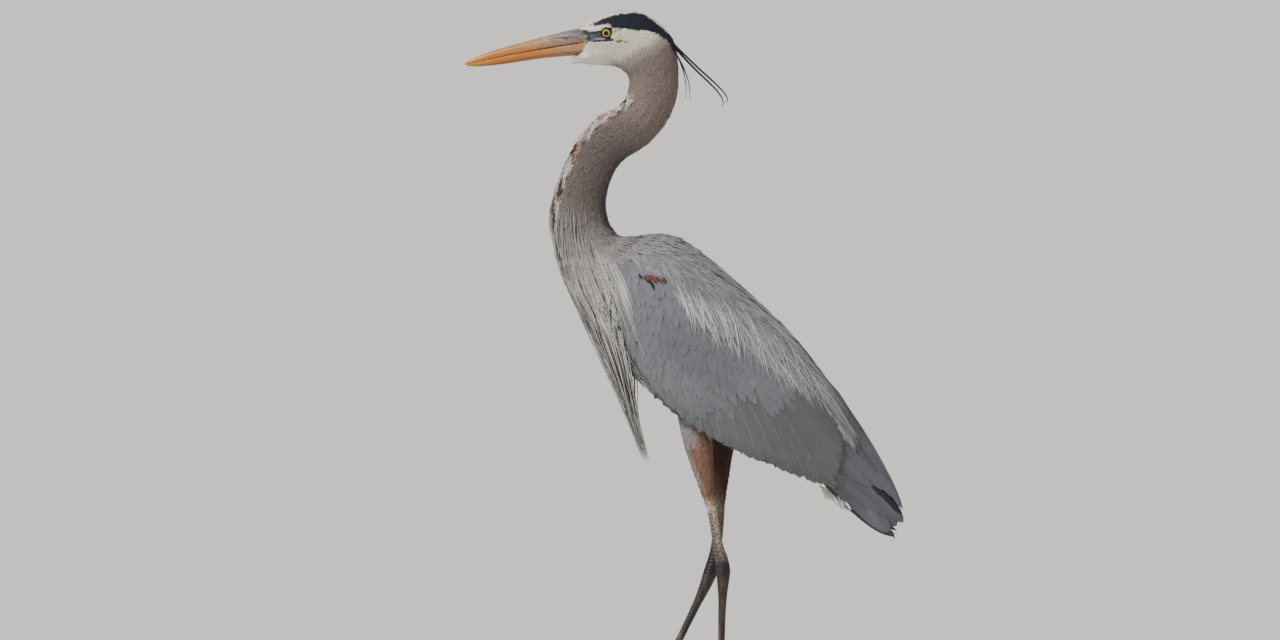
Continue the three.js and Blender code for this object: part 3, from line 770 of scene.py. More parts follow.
def shapeFace(points):
    # lids round each eye, the sunk lores and the crease of the gape
    points = points.copy()
    x, y, z = points.T
    inLore = smoothStep(-150, -143, x) * smoothStep(-120, -128, x)
    inLore *= smoothStep(858, 860.5, z) * smoothStep(873, 869, z)
    crease = smoothStep(1.3, 0, np.abs(z - mouthLine["z"]))
    crease *= smoothStep(-152, -144, x) * smoothStep(-104, -116, x)
    furrow = smoothStep(1.2, 0, np.abs(z - 866.5 - 0.06 * (x + 130))) * inLore
    points[:, 1] -= np.sign(y) * (faceValues["loreDepth"] * inLore + faceValues["creaseDepth"] * crease
                                  + faceValues["furrowDepth"] * furrow)
    for side, _ in sides:
        centre, gaze = eyeFrame(side)
        far, facing, angle = aroundEye(points, side)
        above = unit(across(np.array([0.25, 0, 1.0]), gaze))
        upward = (unit(across(facing, gaze)) * above).sum(1)
        edge = faceValues["aperture"] - faceValues["upperLower"] * np.clip(upward, 0, 1) ** 2
        lidTop = eye["radius"] + faceValues["lid"]
        lidTop -= faceValues["lidRound"] * smoothStep(edge + 5, edge, angle)
        lidTop = lidTop - faceValues["lidFold"] * smoothStep(3, 0, np.abs(angle - edge - 13))
        blend = smoothStep(edge + 32, edge + 9, angle)
        reach = np.where(angle < edge, eye["radius"] - faceValues["behindEye"], far + (lidTop - far) * blend)
        near = (far < faceValues["reach"]) & (points[:, 1] * side > 2)
        points = np.where(near[:, None], centre + facing * reach[:, None], points)
    return points


def maths(tree, operation, *values):
    return addNode(tree, "Math", dict(enumerate(values)), operation=operation)


def ranged(tree, value, taken=(0, 1), given=(0, 1)):
    # the range taken becomes the range given, and stops at its ends
    return addNode(tree, "MapRange", {"Value": value, "From Min": taken[0], "From Max": taken[1],
                                      "To Min": given[0], "To Max": given[1]})


def objectPlace(tree):
    return addNode(tree, "TexCoord", {}).outputs["Object"]


def noiseNode(tree, place, scale, detail):
    return addNode(tree, "TexNoise", {"Vector": place, "Scale": scale, "Detail": detail})


def markedColour(tree, shade):
    # the marking colour of each point, times a shade
    return times(tree, addNode(tree, "Attribute", {}, attribute_name="plumage"), shade)


def bumped(tree, height, strength, distance):
    return addNode(tree, "Bump", {"Height": height, "Strength": strength, "Distance": distance})


# Millimetres for the plates and cells, metres for the rest.
limb = {"plate": 4.6, "cell": 3.3, "depth": 0.00045, "heel": (0.2, 0.218)}


def skinMaterial():
    # bird skin: dry and matt under the feathers, with overlapping plates down the front of the legs and
    # toes and small pebbled scales behind them
    material, tree, shader = newMaterial("dry bird skin")
    place = objectPlace(tree)
    cells = addNode(tree, "TexVoronoi", {"Vector": place, "Scale": 1000 / limb["cell"]},
                    feature="DISTANCE_TO_EDGE")
    pebbles = ranged(tree, cells, (0, 0.24))
    marks = addNode(tree, "SeparateXYZ", {"Vector": addNode(tree, "UVMap", {}, uv_map="vane")})
    onFront, onLeg = (maths(tree, "GREATER_THAN", marks.outputs["X"], level) for level in (0.5, 0.1))
    count = maths(tree, "MULTIPLY", marks.outputs["Y"], 1000 / limb["plate"])
    plates = ranged(tree, maths(tree, "FRACT", count), (0, 0.16))
    scales = addNode(tree, "Mix", {"Factor": onFront, "A": pebbles, "B": plates})
    whole = addNode(tree, "Mix", {"Factor": onLeg, "A": 1.0, "B": scales})
    creases = noiseNode(tree, place, scale=900, detail=4)
    rough = maths(tree, "MULTIPLY_ADD", creases, 0.35, whole)
    # above the heel the scales are dark and the skin between them pale
    height = addNode(tree, "SeparateXYZ", {"Vector": place}).outputs["Z"]
    onShin = maths(tree, "MULTIPLY", ranged(tree, height, limb["heel"]), onLeg)
    below, above = ranged(tree, whole, given=(0.3, 1)), ranged(tree, whole, (0.25, 0.8), (1.25, 0.3))
    toned = addNode(tree, "Mix", {"Factor": onShin, "A": below, "B": above})
    setInputs(tree, shader, {"Base Color": markedColour(tree, toned), "Roughness": 0.5,
                             "Normal": bumped(tree, rough, strength=0.6, distance=limb["depth"])})
    return material


# Plates cover the front of the legs and the tops of the toes, and pebbles the rest.
limbValues = {"feet": ((25, -34), (-66, 34)), "toeTop": 24, "scalesTo": 262, "uneven": 16,
              "plates": 1.0, "pebbles": 0.3, "toeUp": 0.25, "legFront": -0.2, "legTop": 400}


def limbMarks(points, normals, region):
    # whether plates, pebbles or neither cover a point, and its distance along the leg or toe in metres
    edge = limbValues["scalesTo"] + limbValues["uneven"] * noiseAt(points, 5, 27)
    scaled = (region == bareRegion) & (points[:, 2] < edge)
    onToe = points[:, 2] < limbValues["toeTop"]
    reach = np.min([np.hypot(points[:, 0] - x, points[:, 1] - y) for x, y in limbValues["feet"]], axis=0)
    plated = np.where(onToe, normals[:, 2] > limbValues["toeUp"], normals[:, 0] < limbValues["legFront"])
    kind = np.where(plated, limbValues["plates"], limbValues["pebbles"]) * scaled
    return np.stack([kind, np.where(onToe, reach, limbValues["legTop"] - points[:, 2]) / 1000], 1)


def skinDepth(points, triangles, edges, depth):
    # the skin sunk under the coat by that depth, though never through the form's own middle
    count = np.bincount(edges.ravel(), minlength=len(points))
    for _ in range(skinValues["depthRounds"]):
        depth = np.where(depth > 0, 0.5 * depth + 0.5 * neighbourSums(depth, edges) / count, 0)
    covered = np.flatnonzero(depth > 0.4)
    near, facing = envelope.nearest(points[covered])
    room = skinValues["room"] * envelope.thickness(near, facing)
    rump = skinValues["rumpDepth"] * smoothStep(145, 165, points[covered, 0])
    deep = np.minimum(skinValues["share"] * depth[covered] + rump, room)
    depth[covered] = np.minimum(depth[covered], room)
    points = points - vertexNormals(points, triangles) * depth[:, None]
    above = ((points[covered] - near) * facing).sum(1)
    points[covered] -= facing * np.clip(above + deep, 0, skinValues["most"])[:, None]
    return points


def buildSkin():
    mesh = skinBlank()
    points, _, _ = meshArrays(mesh)
    x, z = points[:, 0], points[:, 2]
    fine = ((z > 800) & (x < -20)) | ((z < 300) & (x < 120))
    mesh = thinned(mesh, skinValues["keep"], np.where(fine, 0.0, 1.0))
    for side, _ in sides:
        for out, radii in refinedAt:
            mesh = refined(mesh, eyeFrame(side)[0] + [0, side * out, 0], radii)
    points, triangles, edges = meshArrays(mesh)
    owners = ownersOf(points, fleshNames)
    depth = np.array([coatDepth.get(name, 0) for name in fleshNames], dtype=float)[owners]
    onFeet = points[:, 2] < 60
    points = smoothed(points, edges, skinValues["evenRounds"], np.where(onFeet, 0.5, 1.0))
    points = skinDepth(points, triangles, edges, depth)
    points = shapeFace(ontoBill(points, skinValues["onBill"]))
    points[:, 2] = np.maximum(points[:, 2], 0)
    region = np.array([regionNumber.get(name, bareRegion) for name in fleshNames])[owners]
    colour = plumageColour(points, region)
    face = (points[:, 0] < -88) & (points[:, 2] > 840)
    colour[face] = faceMarks(points[face], colour[face])
    marks = limbMarks(points, vertexNormals(points, triangles), region)
    made = arrayMesh("skin", points, triangles, colour, vane=marks)
    bpy.data.meshes.remove(mesh)
    addPiece("skin", made, skinMaterial(), [name for name in fleshNames if name != "tail"])
    print("skin", len(triangles), "triangles")


buildSkin()


random = np.random.default_rng(7)


def varied(spread, size):
    # shares near 1 that multiply a size or a tone
    return np.exp(random.normal(0, spread, size))


def sampled(surface, mask, spacing):
    # evenly scattered roots on the part of a surface where all corners of a face are in the mask: far
    # too many are thrown, and one is kept in each cell
    chosen = surface.triangles[mask[surface.triangles].all(1)]
    a, b, c = (surface.points[chosen[:, k]] for k in range(3))
    areas = 0.5 * np.linalg.norm(np.cross(b - a, c - a), axis=1)
    count = int(7 * areas.sum() / spacing ** 2)
    picked = random.choice(len(chosen), count, p=areas / areas.sum())
    shares = random.random((count, 2))
    shares = np.where(shares.sum(1, keepdims=True) > 1, 1 - shares, shares)
    u, v = shares[:, :1], shares[:, 1:]
    points = a[picked] + u * (b - a)[picked] + v * (c - a)[picked]
    normals = [surface.normals[chosen[picked, k]] for k in range(3)]
    normals = unit(normals[0] * (1 - u - v) + normals[1] * u + normals[2] * v)
    cells = np.floor(points / (0.86 * spacing)).astype(np.int64)
    keys = (cells[:, 0] * mixers[0]) ^ (cells[:, 1] * mixers[1]) ^ (cells[:, 2] * mixers[2])
    _, kept = np.unique(keys, return_index=True)
    kept = random.permutation(kept)
    return points[kept], normals[kept]


def flowAt(points, normals):
    # the lie of the feathers: back from the bill, down the neck and along the body
    gaps = ((points[:, None, [0, 2]] - spineMiddle[None, ::4]) ** 2).sum(-1)
    shares = 1 / (gaps + 40) ** 3
    shares /= shares.sum(1, keepdims=True)
    lie = (shares[..., None] * spineAlong[None, ::4]).sum(1)
    return unit(across(inMiddle(lie[:, 0], lie[:, 1]), normals))


def turned(vectors, normals, angles):
    side = np.cross(normals, vectors)
    return vectors * np.cos(angles)[:, None] + side * np.sin(angles)[:, None]


# Stations along a tuft or feather from root to tip, with the half width and the ridge's height at
# each as shares of the full ones.
tuftShapes = {
    "fine": {"t": (0, 0.35, 0.75), "wide": (0.55, 1, 0.6), "high": (0.5, 1, 0.7)},
    "soft": {"t": (0, 0.25, 0.55, 0.82), "wide": (0.5, 0.95, 0.85, 0.5), "high": (0.6, 1, 0.9, 0.6)},
}


def ringFaces(stations, around, over=99):
    # the faces of one tapering form: rings of points, a tip, and a fan that closes the root; past the
    # point numbered over, the faces are split the other way, so that the under side runs beside the upper
    faces = []
    for j in range(stations - 1):
        for k in range(around):
            a, b = j * around + k, j * around + (k + 1) % around
            if k < over:
                faces += [(a, b + around, a + around), (a, b, b + around)]
            else:
                faces += [(a, b, a + around), (b, b + around, a + around)]
    last, tip = (stations - 1) * around, stations * around
    faces += [(last + k, last + (k + 1) % around, tip) for k in range(around)]
    faces += [(0, k + 1, k) for k in range(1, around - 1)]
    return np.array(faces)


def bakePlaces(points, roots, reach):
    # each tuft is one small patch at its root's place on the bird's skin, unrolled round its middle line
    length, angle, _ = bodyPlace(roots)
    turn, far = (angle + math.pi) / (2 * math.pi), length / spineLength[-1]
    home = np.stack([0.02 + 0.96 * turn, 0.02 + 0.96 * far], 1)
    away = points - roots[:, None]
    size = np.abs(away).max((1, 2), keepdims=True)
    return home[:, None] + reach * away[..., [0, 2]] / size


def featherPiece(name, points, pattern, colour, roots, soft, style, vane=None, replaced=()):
    # one piece of many like forms, each with its row of points, its soft normals and its patch to bake on
    count, each = points.shape[:2]
    faces = (pattern[None] + each * np.arange(count)[:, None, None]).reshape(-1, 3)
    mesh = arrayMesh(name, points.reshape(-1, 3), faces, np.clip(colour, 0, 1).reshape(-1, 3),
                     bakePlaces(points, roots, style["bake"]).reshape(-1, 2), vane, soft.reshape(-1, 3),
                     vane is not None)
    print(name, count, "feathers", len(mesh.polygons), "triangles")
    addPiece(name, mesh, style["material"], replaced)


def perStation(row):
    return np.array(row)[None, :, None]


def tufts(name, roots, normals, lie, style, shades):
    # one piece of many small feathers, each a thin ridged blade that lies back over the next
    style = {**tuftDefaults, **style}
    shape = tuftShapes[style["shape"]]
    count, stations = len(roots), len(shape["t"])
    at = perStation(shape["t"] + (1,))
    lie = turned(lie, normals, random.normal(0, style["spread"], count))
    side = np.cross(lie, normals)
    size = varied(style["vary"], count)[:, None, None]
    length = np.reshape(style["length"], (-1, 1, 1)) * size
    lift = (style["lift"] + random.normal(0, style["liftVary"], count))[:, None, None]
    bend = random.normal(0, style["bend"], count)[:, None, None]
    middle = roots[:, None] + lie[:, None] * length * at + side[:, None] * length * bend * at ** 2
    rise = length * (lift * at - style["droop"] * at ** 2) - style["sink"] * (1 - at)
    rise = rise + np.reshape(style["follow"], (-1, 1, 1)) * at ** 2
    middle = middle + normals[:, None] * rise
    wide = style["width"] * np.sqrt(size) * perStation(shape["wide"])
    high = style["height"] * perStation(shape["high"])
    ring = middle[:, :-1]
    left, right = ring + side[:, None] * wide, ring - side[:, None] * wide
    ridge = ring + normals[:, None] * high
    points = np.concatenate([np.stack([right, ridge, left], 2).reshape(count, -1, 3), middle[:, -1:]], 1)
    tone = varied(style["tone"], count)[:, None, None]
    ends = perStation([*np.repeat(shape["t"], 3), 1])
    edges = perStation([1, 0, 1] * stations + [0.5])
    fade = 1 + style["tipTone"] * (ends - 0.4) - style["edgeTone"] * edges
    soft = normals[:, None] + style["round"] * side[:, None] * perStation([-1, 0, 1] * stations + [0])
    featherPiece(name, points, ringFaces(stations, 3), shades[:, None] * tone * fade, roots,
                 np.broadcast_to(soft, points.shape), style)


def featherMaterial(name, roughness, sheen, grain, depth):
    # soft keratin: matt barbs that scatter light, with a faint sheen at grazing angles
    material, tree, shader = newMaterial(name)
    cloud = noiseNode(tree, objectPlace(tree), scale=1000 / grain, detail=3)
    shade = ranged(tree, cloud, given=(1 - depth, 1 + depth))
    setInputs(tree, shader, {"Base Color": markedColour(tree, shade), "Roughness": roughness,
                             "Sheen Weight": sheen, "Sheen Roughness": 0.4, "Specular IOR Level": 0.3})
    return material


downMaterial = featherMaterial("soft contour feather", roughness=0.8, sheen=0.12, grain=3, depth=0.12)
# What a style of tuft has where it names nothing else; bake is the size of its patch in the bake map.
tuftDefaults = {"spread": 0.12, "vary": 0.15, "bend": 0.06, "follow": 0, "tone": 0.05, "tipTone": 0.08,
                "edgeTone": 0.05, "round": 0.35, "liftVary": 0.02, "bake": 0.0015,
                "material": downMaterial}


def inLores(points):
    x, _, z = points.T
    inside = (x < -104) & (z > 858.6) & (z < np.interp(x, *loreTop) - 0.5)
    gape = np.interp(x, [-122, -103], [1.1, 0.5])
    inside |= (x > -153) & (x < -103) & (np.abs(z - mouthHeight(x)) < gape)
    return inside | ((beforeCheek(x, z) < 0) & (z < 859) & (z > 839.5)) | ((x < -150.6) & (z > 840))


def nearEye(points):
    close = np.zeros(len(points), dtype=bool)
    for side, _ in sides:
        far, _, angle = aroundEye(points, side)
        close |= (far < 14) & (angle < 51)
    return close


def onBareFace(points):
    return inLores(points) | nearEye(points)


def coatPatch(name, mask, style, leave=None):
    # a patch of the coat, laid along the body; its tips follow the surface
    roots, normals = sampled(envelope, mask, style["spacing"])
    if leave is not None:
        kept = ~leave(roots)
        roots, normals = roots[kept], normals[kept]
    shades = plumageColour(roots, np.full(len(roots), style["region"]))
    lie = flowAt(roots, normals)
    if "lie" in style:
        lie = unit(across(np.tile(style["lie"], (len(roots), 1)), normals))
    if "along" in style:
        style = {**style, "length": np.interp(bodyPlace(roots)[2], *style["along"])}
    ends = roots + lie * np.reshape(style["length"], (-1, 1))
    near, facing = envelope.nearest(ends)
    style = {**style, "follow": np.clip(((near - ends) * facing).sum(1), -3, 4)}
    tufts(name, roots - normals * style["under"], normals, lie, style, shades)


# Millimetres, except for the shares of the length that the tips rise and droop by, and the tones. The
# neck's feathers grow longer along the spine, by the places and lengths named there.
coatStyles = {
    "face": {"shape": "fine", "spacing": 0.85, "length": 3.8, "width": 0.66, "height": 0.15, "lift": 0.14,
             "droop": 0.028, "sink": 0.25, "under": 0.55, "spread": 0.16, "region": 0,
             "slot": "head_feather"},
    "head": {"shape": "fine", "spacing": 1.4, "length": 6.5, "width": 0.9, "height": 0.18, "lift": 0.12,
             "droop": 0.025, "sink": 0.4, "under": 0.8, "spread": 0.13, "region": 0, "slot": "head_feather"},
    "neck": {"shape": "fine", "spacing": 1.75, "along": ((5.3, 7.5), (7, 13)), "width": 1.3, "height": 0.25,
             "lift": 0.1, "droop": 0.017, "sink": 0.6, "under": 1.2, "spread": 0.1, "region": 0,
             "slot": "neck_feather"},
    "foot": {"shape": "soft", "spacing": 2.1, "along": ((12.6, 14.2), (13, 20)), "width": 1.3, "height": 0.4,
             "lift": 0.1, "droop": 0.017, "sink": 1, "under": 1.8, "spread": 0.09, "tipTone": 0.1,
             "region": 0, "slot": "neck_feather"},
    "back": {"shape": "soft", "spacing": 2.7, "length": 20, "width": 2.2, "height": 0.4, "lift": 0.09,
             "droop": 0.021, "sink": 1, "under": 2, "spread": 0.1, "region": 1, "slot": "back_feather"},
    "belly": {"shape": "fine", "spacing": 3.9, "length": 19, "width": 2.4, "height": 0.5, "lift": 0.12,
              "droop": 0.021, "sink": 1, "under": 2, "spread": 0.14, "region": 1, "slot": "back_feather"},
    "thigh": {"shape": "fine", "spacing": 1.95, "length": 9, "width": 1.1, "height": 0.28, "lift": 0.12,
              "droop": 0.021, "sink": 0.4, "under": 0.9, "spread": 0.12, "tone": 0.08, "region": 4,
              "lie": (0.12, 0, -1.0), "slot": "thigh_feather"},
}
# Where covert feathers are rooted on the wing's side, as x and z round the area.
covertArea = [(-112, 590), (-90, 606), (-40, 612), (20, 590), (70, 550), (120, 495), (160, 440), (185, 402),
              (176, 388), (150, 414), (120, 428), (80, 438), (30, 444), (-20, 430), (-60, 432), (-88, 464),
              (-104, 520)]


def insideArea(x, z, corners):
    # whether places in the side view lie inside a ring of corners
    inside = np.zeros(len(x), dtype=bool)
    for (x0, z0), (x1, z1) in zip(corners, corners[1:] + corners[:1]):
        crosses = (z0 > z) != (z1 > z)
        inside ^= crosses & (x < (x1 - x0) * (z - z0) / (z1 - z0 + 1e-9) + x0)
    return inside


chinValues = {"count": 90, "x": (-161, -145), "width": 2, "above": 0.6}
chinStyle = {**coatStyles["head"], "lift": 0.02}


def buildChin():
    # the tuft of white feathers that runs out under the lower bill
    count = chinValues["count"]
    x, y = random.uniform(*chinValues["x"], count), random.normal(0, chinValues["width"], count)
    roots = np.stack([x, y, np.interp(-x, billFront, [row[3] for row in bill]) + chinValues["above"]], 1)
    level = np.ones(count)
    lie = unit(np.stack([random.normal(0.7, 0.2, count), 0.25 * y, -0.65 * level], 1))
    normals = unit(across(np.stack([-0.4 * level, np.sign(y), -0.6 * level], 1), lie))
    tufts("coatChin", roots, normals, lie, chinStyle, plain("white", roots))


def buildSmallFeathers():
    region = envelopeRegion
    x, y, z = envelope.points.T
    place = envelopePlace + 0.5 * (noiseAt(envelope.points, 6, 21) - 0.5)
    inHead = (region == 0) & (place < 5.5)
    neck, trunk = region == 0, (region == 1) & (place >= 14.5)
    foot = (neck & (place >= 12.7)) | ((region == 1) & (place < 14.8))
    covered = insideArea(x, z, covertArea) & (np.abs(y) > 38)
    onTop = envelopeAround > 1.5
    low = trunk & ~covered & ~onTop & ((x < 140) | (np.abs(y) < 24)) & (x < 176)
    coatPatch("coatFace", inHead & (x < -118), coatStyles["face"], onBareFace)
    buildChin()
    coatPatch("coatHead", inHead & (x > -122), coatStyles["head"], onBareFace)
    coatPatch("coatNeckUpper", neck & (place >= 5.2) & (place < 9.6), coatStyles["neck"])
    coatPatch("coatNeckLower", neck & (place >= 9.4) & (place < 12.9), {**coatStyles["neck"], "spacing": 1.9})
    coatPatch("coatNeckFoot", foot, coatStyles["foot"])
    coatPatch("coatBack", trunk & onTop & ~covered & (place < 18.5), coatStyles["back"])
    coatPatch("coatBelly", low, coatStyles["belly"])
    for side, label in sides:
        coatPatch("coatThigh" + label, (region == 4) & (y * side > 0) & (z > 284), coatStyles["thigh"])


buildSmallFeathers()


# Which way the feathers lie on the bird's side: x, z and degrees below level, towards the tail.
lieGuide = np.array([
    (-98, 560, 80), (-95, 520, 90), (-90, 470, 88), (-62, 425, 80), (-62, 500, 84), (-15, 400, 73),
    (-15, 465, 76), (-15, 525, 70), (38, 375, 66), (45, 435, 66), (45, 495, 60), (20, 540, 50),
    (100, 345, 58), (100, 410, 58), (105, 465, 53), (150, 325, 51), (150, 385, 51), (190, 345, 49),
    (235, 290, 48), (-70, 590, 62), (-45, 560, 62), (-62, 608, 24), (-25, 600, 27), (18, 580, 36),
    (68, 538, 43), (128, 470, 50), (178, 395, 56), (215, 335, 56),
], dtype=float)


def lieAt(places):
    gaps = ((places[:, None] - lieGuide[None, :, :2]) ** 2).sum(-1)
    shares = 1 / (gaps + 120) ** 1.5
    turn = np.radians((shares * lieGuide[:, 2]).sum(1) / shares.sum(1))
    return np.stack([np.cos(turn), 0 * turn, -np.sin(turn)], -1)


def sideLie(spots, facing):
    # the lie on the bird's side, whichever way the surface faces
    return lieAt(spots[:, [0, 2]])


def readRows(rows, places):
    low = np.minimum(np.asarray(places).astype(int), rows.shape[1] - 2)
    share = (places - low)[None, :, None]
    return rows[:, low] * (1 - share) + rows[:, low + 1] * share


def laidShafts(roots, normals, lengths, t, lieOf=sideLie, past=4, fine=18, sharpest=0.72):
    # shafts that follow the lie over the surface from each root, and end a little past an edge
    for _ in range(2):
        spots, facings, left = [roots], [normals], np.full(len(roots), fine)
        way = lieOf(roots, normals)
        gone = np.zeros(len(roots), dtype=bool)
        for step in range(fine):
            turn = unit(across(lieOf(spots[-1], facings[-1]), facings[-1]))
            way = np.where(gone[:, None], way, turn)
            ahead = spots[-1] + (lengths / fine)[:, None] * way
            near, facing = envelope.nearest(ahead)
            leaves = ~gone & ((facing * facings[-1]).sum(1) < sharpest)
            left = np.where(leaves, step, left)
            gone |= leaves
            spots.append(np.where(gone[:, None], ahead, near))
            facings.append(np.where(gone[:, None], facings[-1], facing))
        lengths = np.where(left < fine, np.minimum(lengths, lengths * left / fine + past), lengths)
    places = np.asarray(t) * fine
    return readRows(np.stack(spots, 1), places), unit(readRows(np.stack(facings, 1), places))


def laidOnSide(path, side):
    # paths of x and z in the side view, brought onto that side of the bird
    flat = inMiddle(path[..., 0], path[..., 1])
    spots, facing = envelope.fromSide(flat.reshape(-1, 3), side)
    return flat, spots.reshape(flat.shape), facing.reshape(flat.shape)


def drawnShafts(paths, side, t, upright=0.6):
    # shafts through chosen places in the side view, laid on that side of the bird
    level = np.stack([curveAt(path, (len(path) - 1) * np.asarray(t)) for path in paths], 0)
    flat, spots, facing = laidOnSide(level, side)
    spots[..., [0, 2]] = flat[..., [0, 2]]
    return spots, unit(facing + facing.mean(1, keepdims=True) + [0, upright * side, 0])


# Stations along the vane, its half width there, and the places of the points across it.
vaneShapes = {
    "covert": {"t": (0, 0.16, 0.36, 0.56, 0.74, 0.87, 0.95), "wide": (0.3, 0.66, 0.92, 1, 0.86, 0.6, 0.34),
               "across": (-1, -0.5, 0, 0.5, 1)},
    "flight": {"t": (0, 0.06, 0.14, 0.24, 0.35, 0.46, 0.57, 0.68, 0.78, 0.86, 0.92, 0.965),
               "wide": (0.2, 0.42, 0.66, 0.84, 0.95, 1, 1, 0.98, 0.92, 0.8, 0.64, 0.42),
               "across": (-1, -0.55, -0.1, 0, 0.1, 0.55, 1)},
    "lance": {"t": (0, 0.1, 0.22, 0.36, 0.5, 0.64, 0.77, 0.89),
              "wide": (0.3, 0.6, 0.9, 1, 0.9, 0.7, 0.46, 0.22), "across": (-1, 0, 1)},
    "streamer": {"t": (0, 0.06, 0.14, 0.24, 0.34, 0.44, 0.54, 0.64, 0.74, 0.83, 0.9, 0.96),
                 "wide": (0.9, 1, 1, 0.96, 0.9, 0.82, 0.72, 0.62, 0.52, 0.42, 0.34, 0.24),
                 "across": (-1, 0, 1)},
}


def stationsOf(shape):
    return np.array(vaneShapes[shape]["t"] + (1,))


def vanes(name, centres, normals, halfWidth, shades, style, rise=None, turn=1, replaced=(), rootShades=None):
    # flat feathers along given shafts; with a rise they are laid over the surface, else they hang free
    style = {**vaneDefaults, **style}
    shape = vaneShapes[style["shape"]]
    cross, t = np.array(shape["across"], dtype=float), np.array(shape["t"])
    count, stations = len(centres), len(t)
    alongShaft = unit(np.gradient(centres, axis=1))
    sideways = unit(np.cross(alongShaft, normals))
    facing = unit(np.cross(sideways, alongShaft))
    wide = halfWidth[:, None] * np.array(shape["wide"])[None]
    ringSide = np.broadcast_to(sideways[:, :stations, None], (count, stations, len(cross), 3))
    ringFacing = np.broadcast_to(facing[:, :stations, None], ringSide.shape)
    lateral = wide[..., None] * cross
    top = centres[:, :stations, None] + ringSide * lateral[..., None]
    height = style["camber"] * wide[..., None] * (1 - cross ** 2) + turn * style["tilt"] * lateral
    tip = centres[:, -1:]
    if rise is not None:
        flat = top.reshape(-1, 3)
        near, outward = envelope.nearest(flat)
        own = ringFacing.reshape(-1, 3)
        sunk = np.clip(((near - flat) * own).sum(1), -style["hug"], style["raise"])
        top = (flat + sunk[:, None] * own).reshape(top.shape)
        bound = smoothStep(0.3, 0.8, (outward * own).sum(1))[:, None]
        ringFacing = unit(own + (outward - own) * bound).reshape(top.shape)
        height = height + rise[:, :stations, None]
        tip = tip + facing[:, -1:] * rise[:, -1:, None]
    top = top + ringFacing * height[..., None]
    inner = slice(1, -1)
    thick = style["thick"] * (0.3 + 0.7 * (1 - np.abs(cross[inner])))[::-1]
    facingBelow = ringFacing[:, :, inner][:, :, ::-1]
    under = top[:, :, inner][:, :, ::-1] - facingBelow * thick[:, None]
    rings = np.concatenate([top, under], 2)
    around = rings.shape[2]
    points = np.concatenate([rings.reshape(count, -1, 3), tip], 1)
    ends = np.repeat(t, around)[None, :, None]
    out = np.tile(np.concatenate([cross, cross[inner][::-1]]), stations)[None, :, None]
    isUnder = np.tile(np.arange(around) >= len(cross), stations)[None, :, None]
    tone = 1 + style["tipTone"] * smoothStep(0.45, 1, ends) - style["rootTone"] * smoothStep(0.5, 0, ends)
    tone = tone + style["edgeTone"] * np.abs(out) ** 3 + turn * style["lowerTone"] * out
    tone = tone + style["shaftTone"] * (np.abs(out) < 0.01) * smoothStep(0.05, 0.3, ends)
    tone = np.where(isUnder, style["underTone"] * tone, tone)
    own = shades[:, None] * np.ones_like(ends)
    if rootShades is not None:
        own = rootShades[:, None] + (shades - rootShades)[:, None] * smoothStep(0.08, 0.65, ends)
    colour = np.concatenate([own * tone, shades[:, None] * (1 + style["tipTone"])], 1)
    lengths = np.linalg.norm(np.diff(centres, axis=1), axis=-1).sum(1)[:, None]
    vane = np.stack([np.concatenate([out[..., 0] * halfWidth[:, None], 0 * lengths], 1),
                     np.concatenate([ends[..., 0] * lengths, lengths], 1)], -1) / 1000
    soft = ringFacing + style["round"] * ringSide * cross[None, None, :, None]
    softRings = np.concatenate([soft, -facingBelow], 2).reshape(count, -1, 3)
    featherPiece(name, points, ringFaces(stations, around, len(cross) - 1), colour, centres[:, 0],
                 np.concatenate([softRings, facing[:, -1:]], 1), style, vane.reshape(-1, 2), replaced)


def vaneMaterial(name, roughness, sheen, barb, strength):
    # a flat vane of fine parallel barbs that run out from the shaft at a slant
    material = featherMaterial(name, roughness, sheen, grain=6, depth=0.06)
    tree = material.node_tree
    marks = addNode(tree, "SeparateXYZ", {"Vector": addNode(tree, "UVMap", {}, uv_map="vane")})
    out = maths(tree, "ABSOLUTE", marks.outputs["X"])
    slant = maths(tree, "MULTIPLY_ADD", out, -1.4, marks.outputs["Y"])
    barbs = maths(tree, "SINE", maths(tree, "MULTIPLY", slant, 2000 * math.pi / barb))
    shader = tree.nodes["Principled BSDF"]
    setInputs(tree, shader, {"Normal": bumped(tree, barbs, strength, distance=0.0003)})
    return material


covertMaterial = vaneMaterial("wing covert vane", roughness=0.75, sheen=0.1, barb=1.3, strength=0.3)
flightMaterial = vaneMaterial("flight feather vane", roughness=0.6, sheen=0.08, barb=1.6, strength=0.35)
plumeMaterial = featherMaterial("loose silky plume", roughness=0.65, sheen=0.15, grain=4, depth=0.1)

# What a style of vane has where it names nothing else: how far it is drawn down onto the surface and
# up to it, in millimetres, the size of its patch in the bake map, its tones, its material and its slot.
vaneDefaults = {"hug": 5, "raise": 2, "bake": 0.0015, "lowerTone": 0, "shaftTone": 0, "underTone": 0.8,
                "material": plumeMaterial, "slot": "back_feather"}
# Camber and tilt are shares of the half width, and thickness is in millimetres.
covertStyle = {"shape": "covert", "camber": 0.03, "tilt": 0.015, "thick": 0.12, "tipTone": 0.06,
               "edgeTone": 0.05, "rootTone": 0.08, "round": 0.12, "shaftTone": 0.02, "bake": 0.004,
               "material": covertMaterial, "slot": "wing_feather"}
flightStyle = {"shape": "flight", "camber": 0.05, "tilt": 0.04, "thick": 0.3, "tipTone": 0.03,
               "edgeTone": -0.1, "rootTone": 0.05, "round": 0.2, "shaftTone": 0.4, "lowerTone": 0.07,
               "bake": 0.01, "material": flightMaterial, "slot": "flight_feather"}
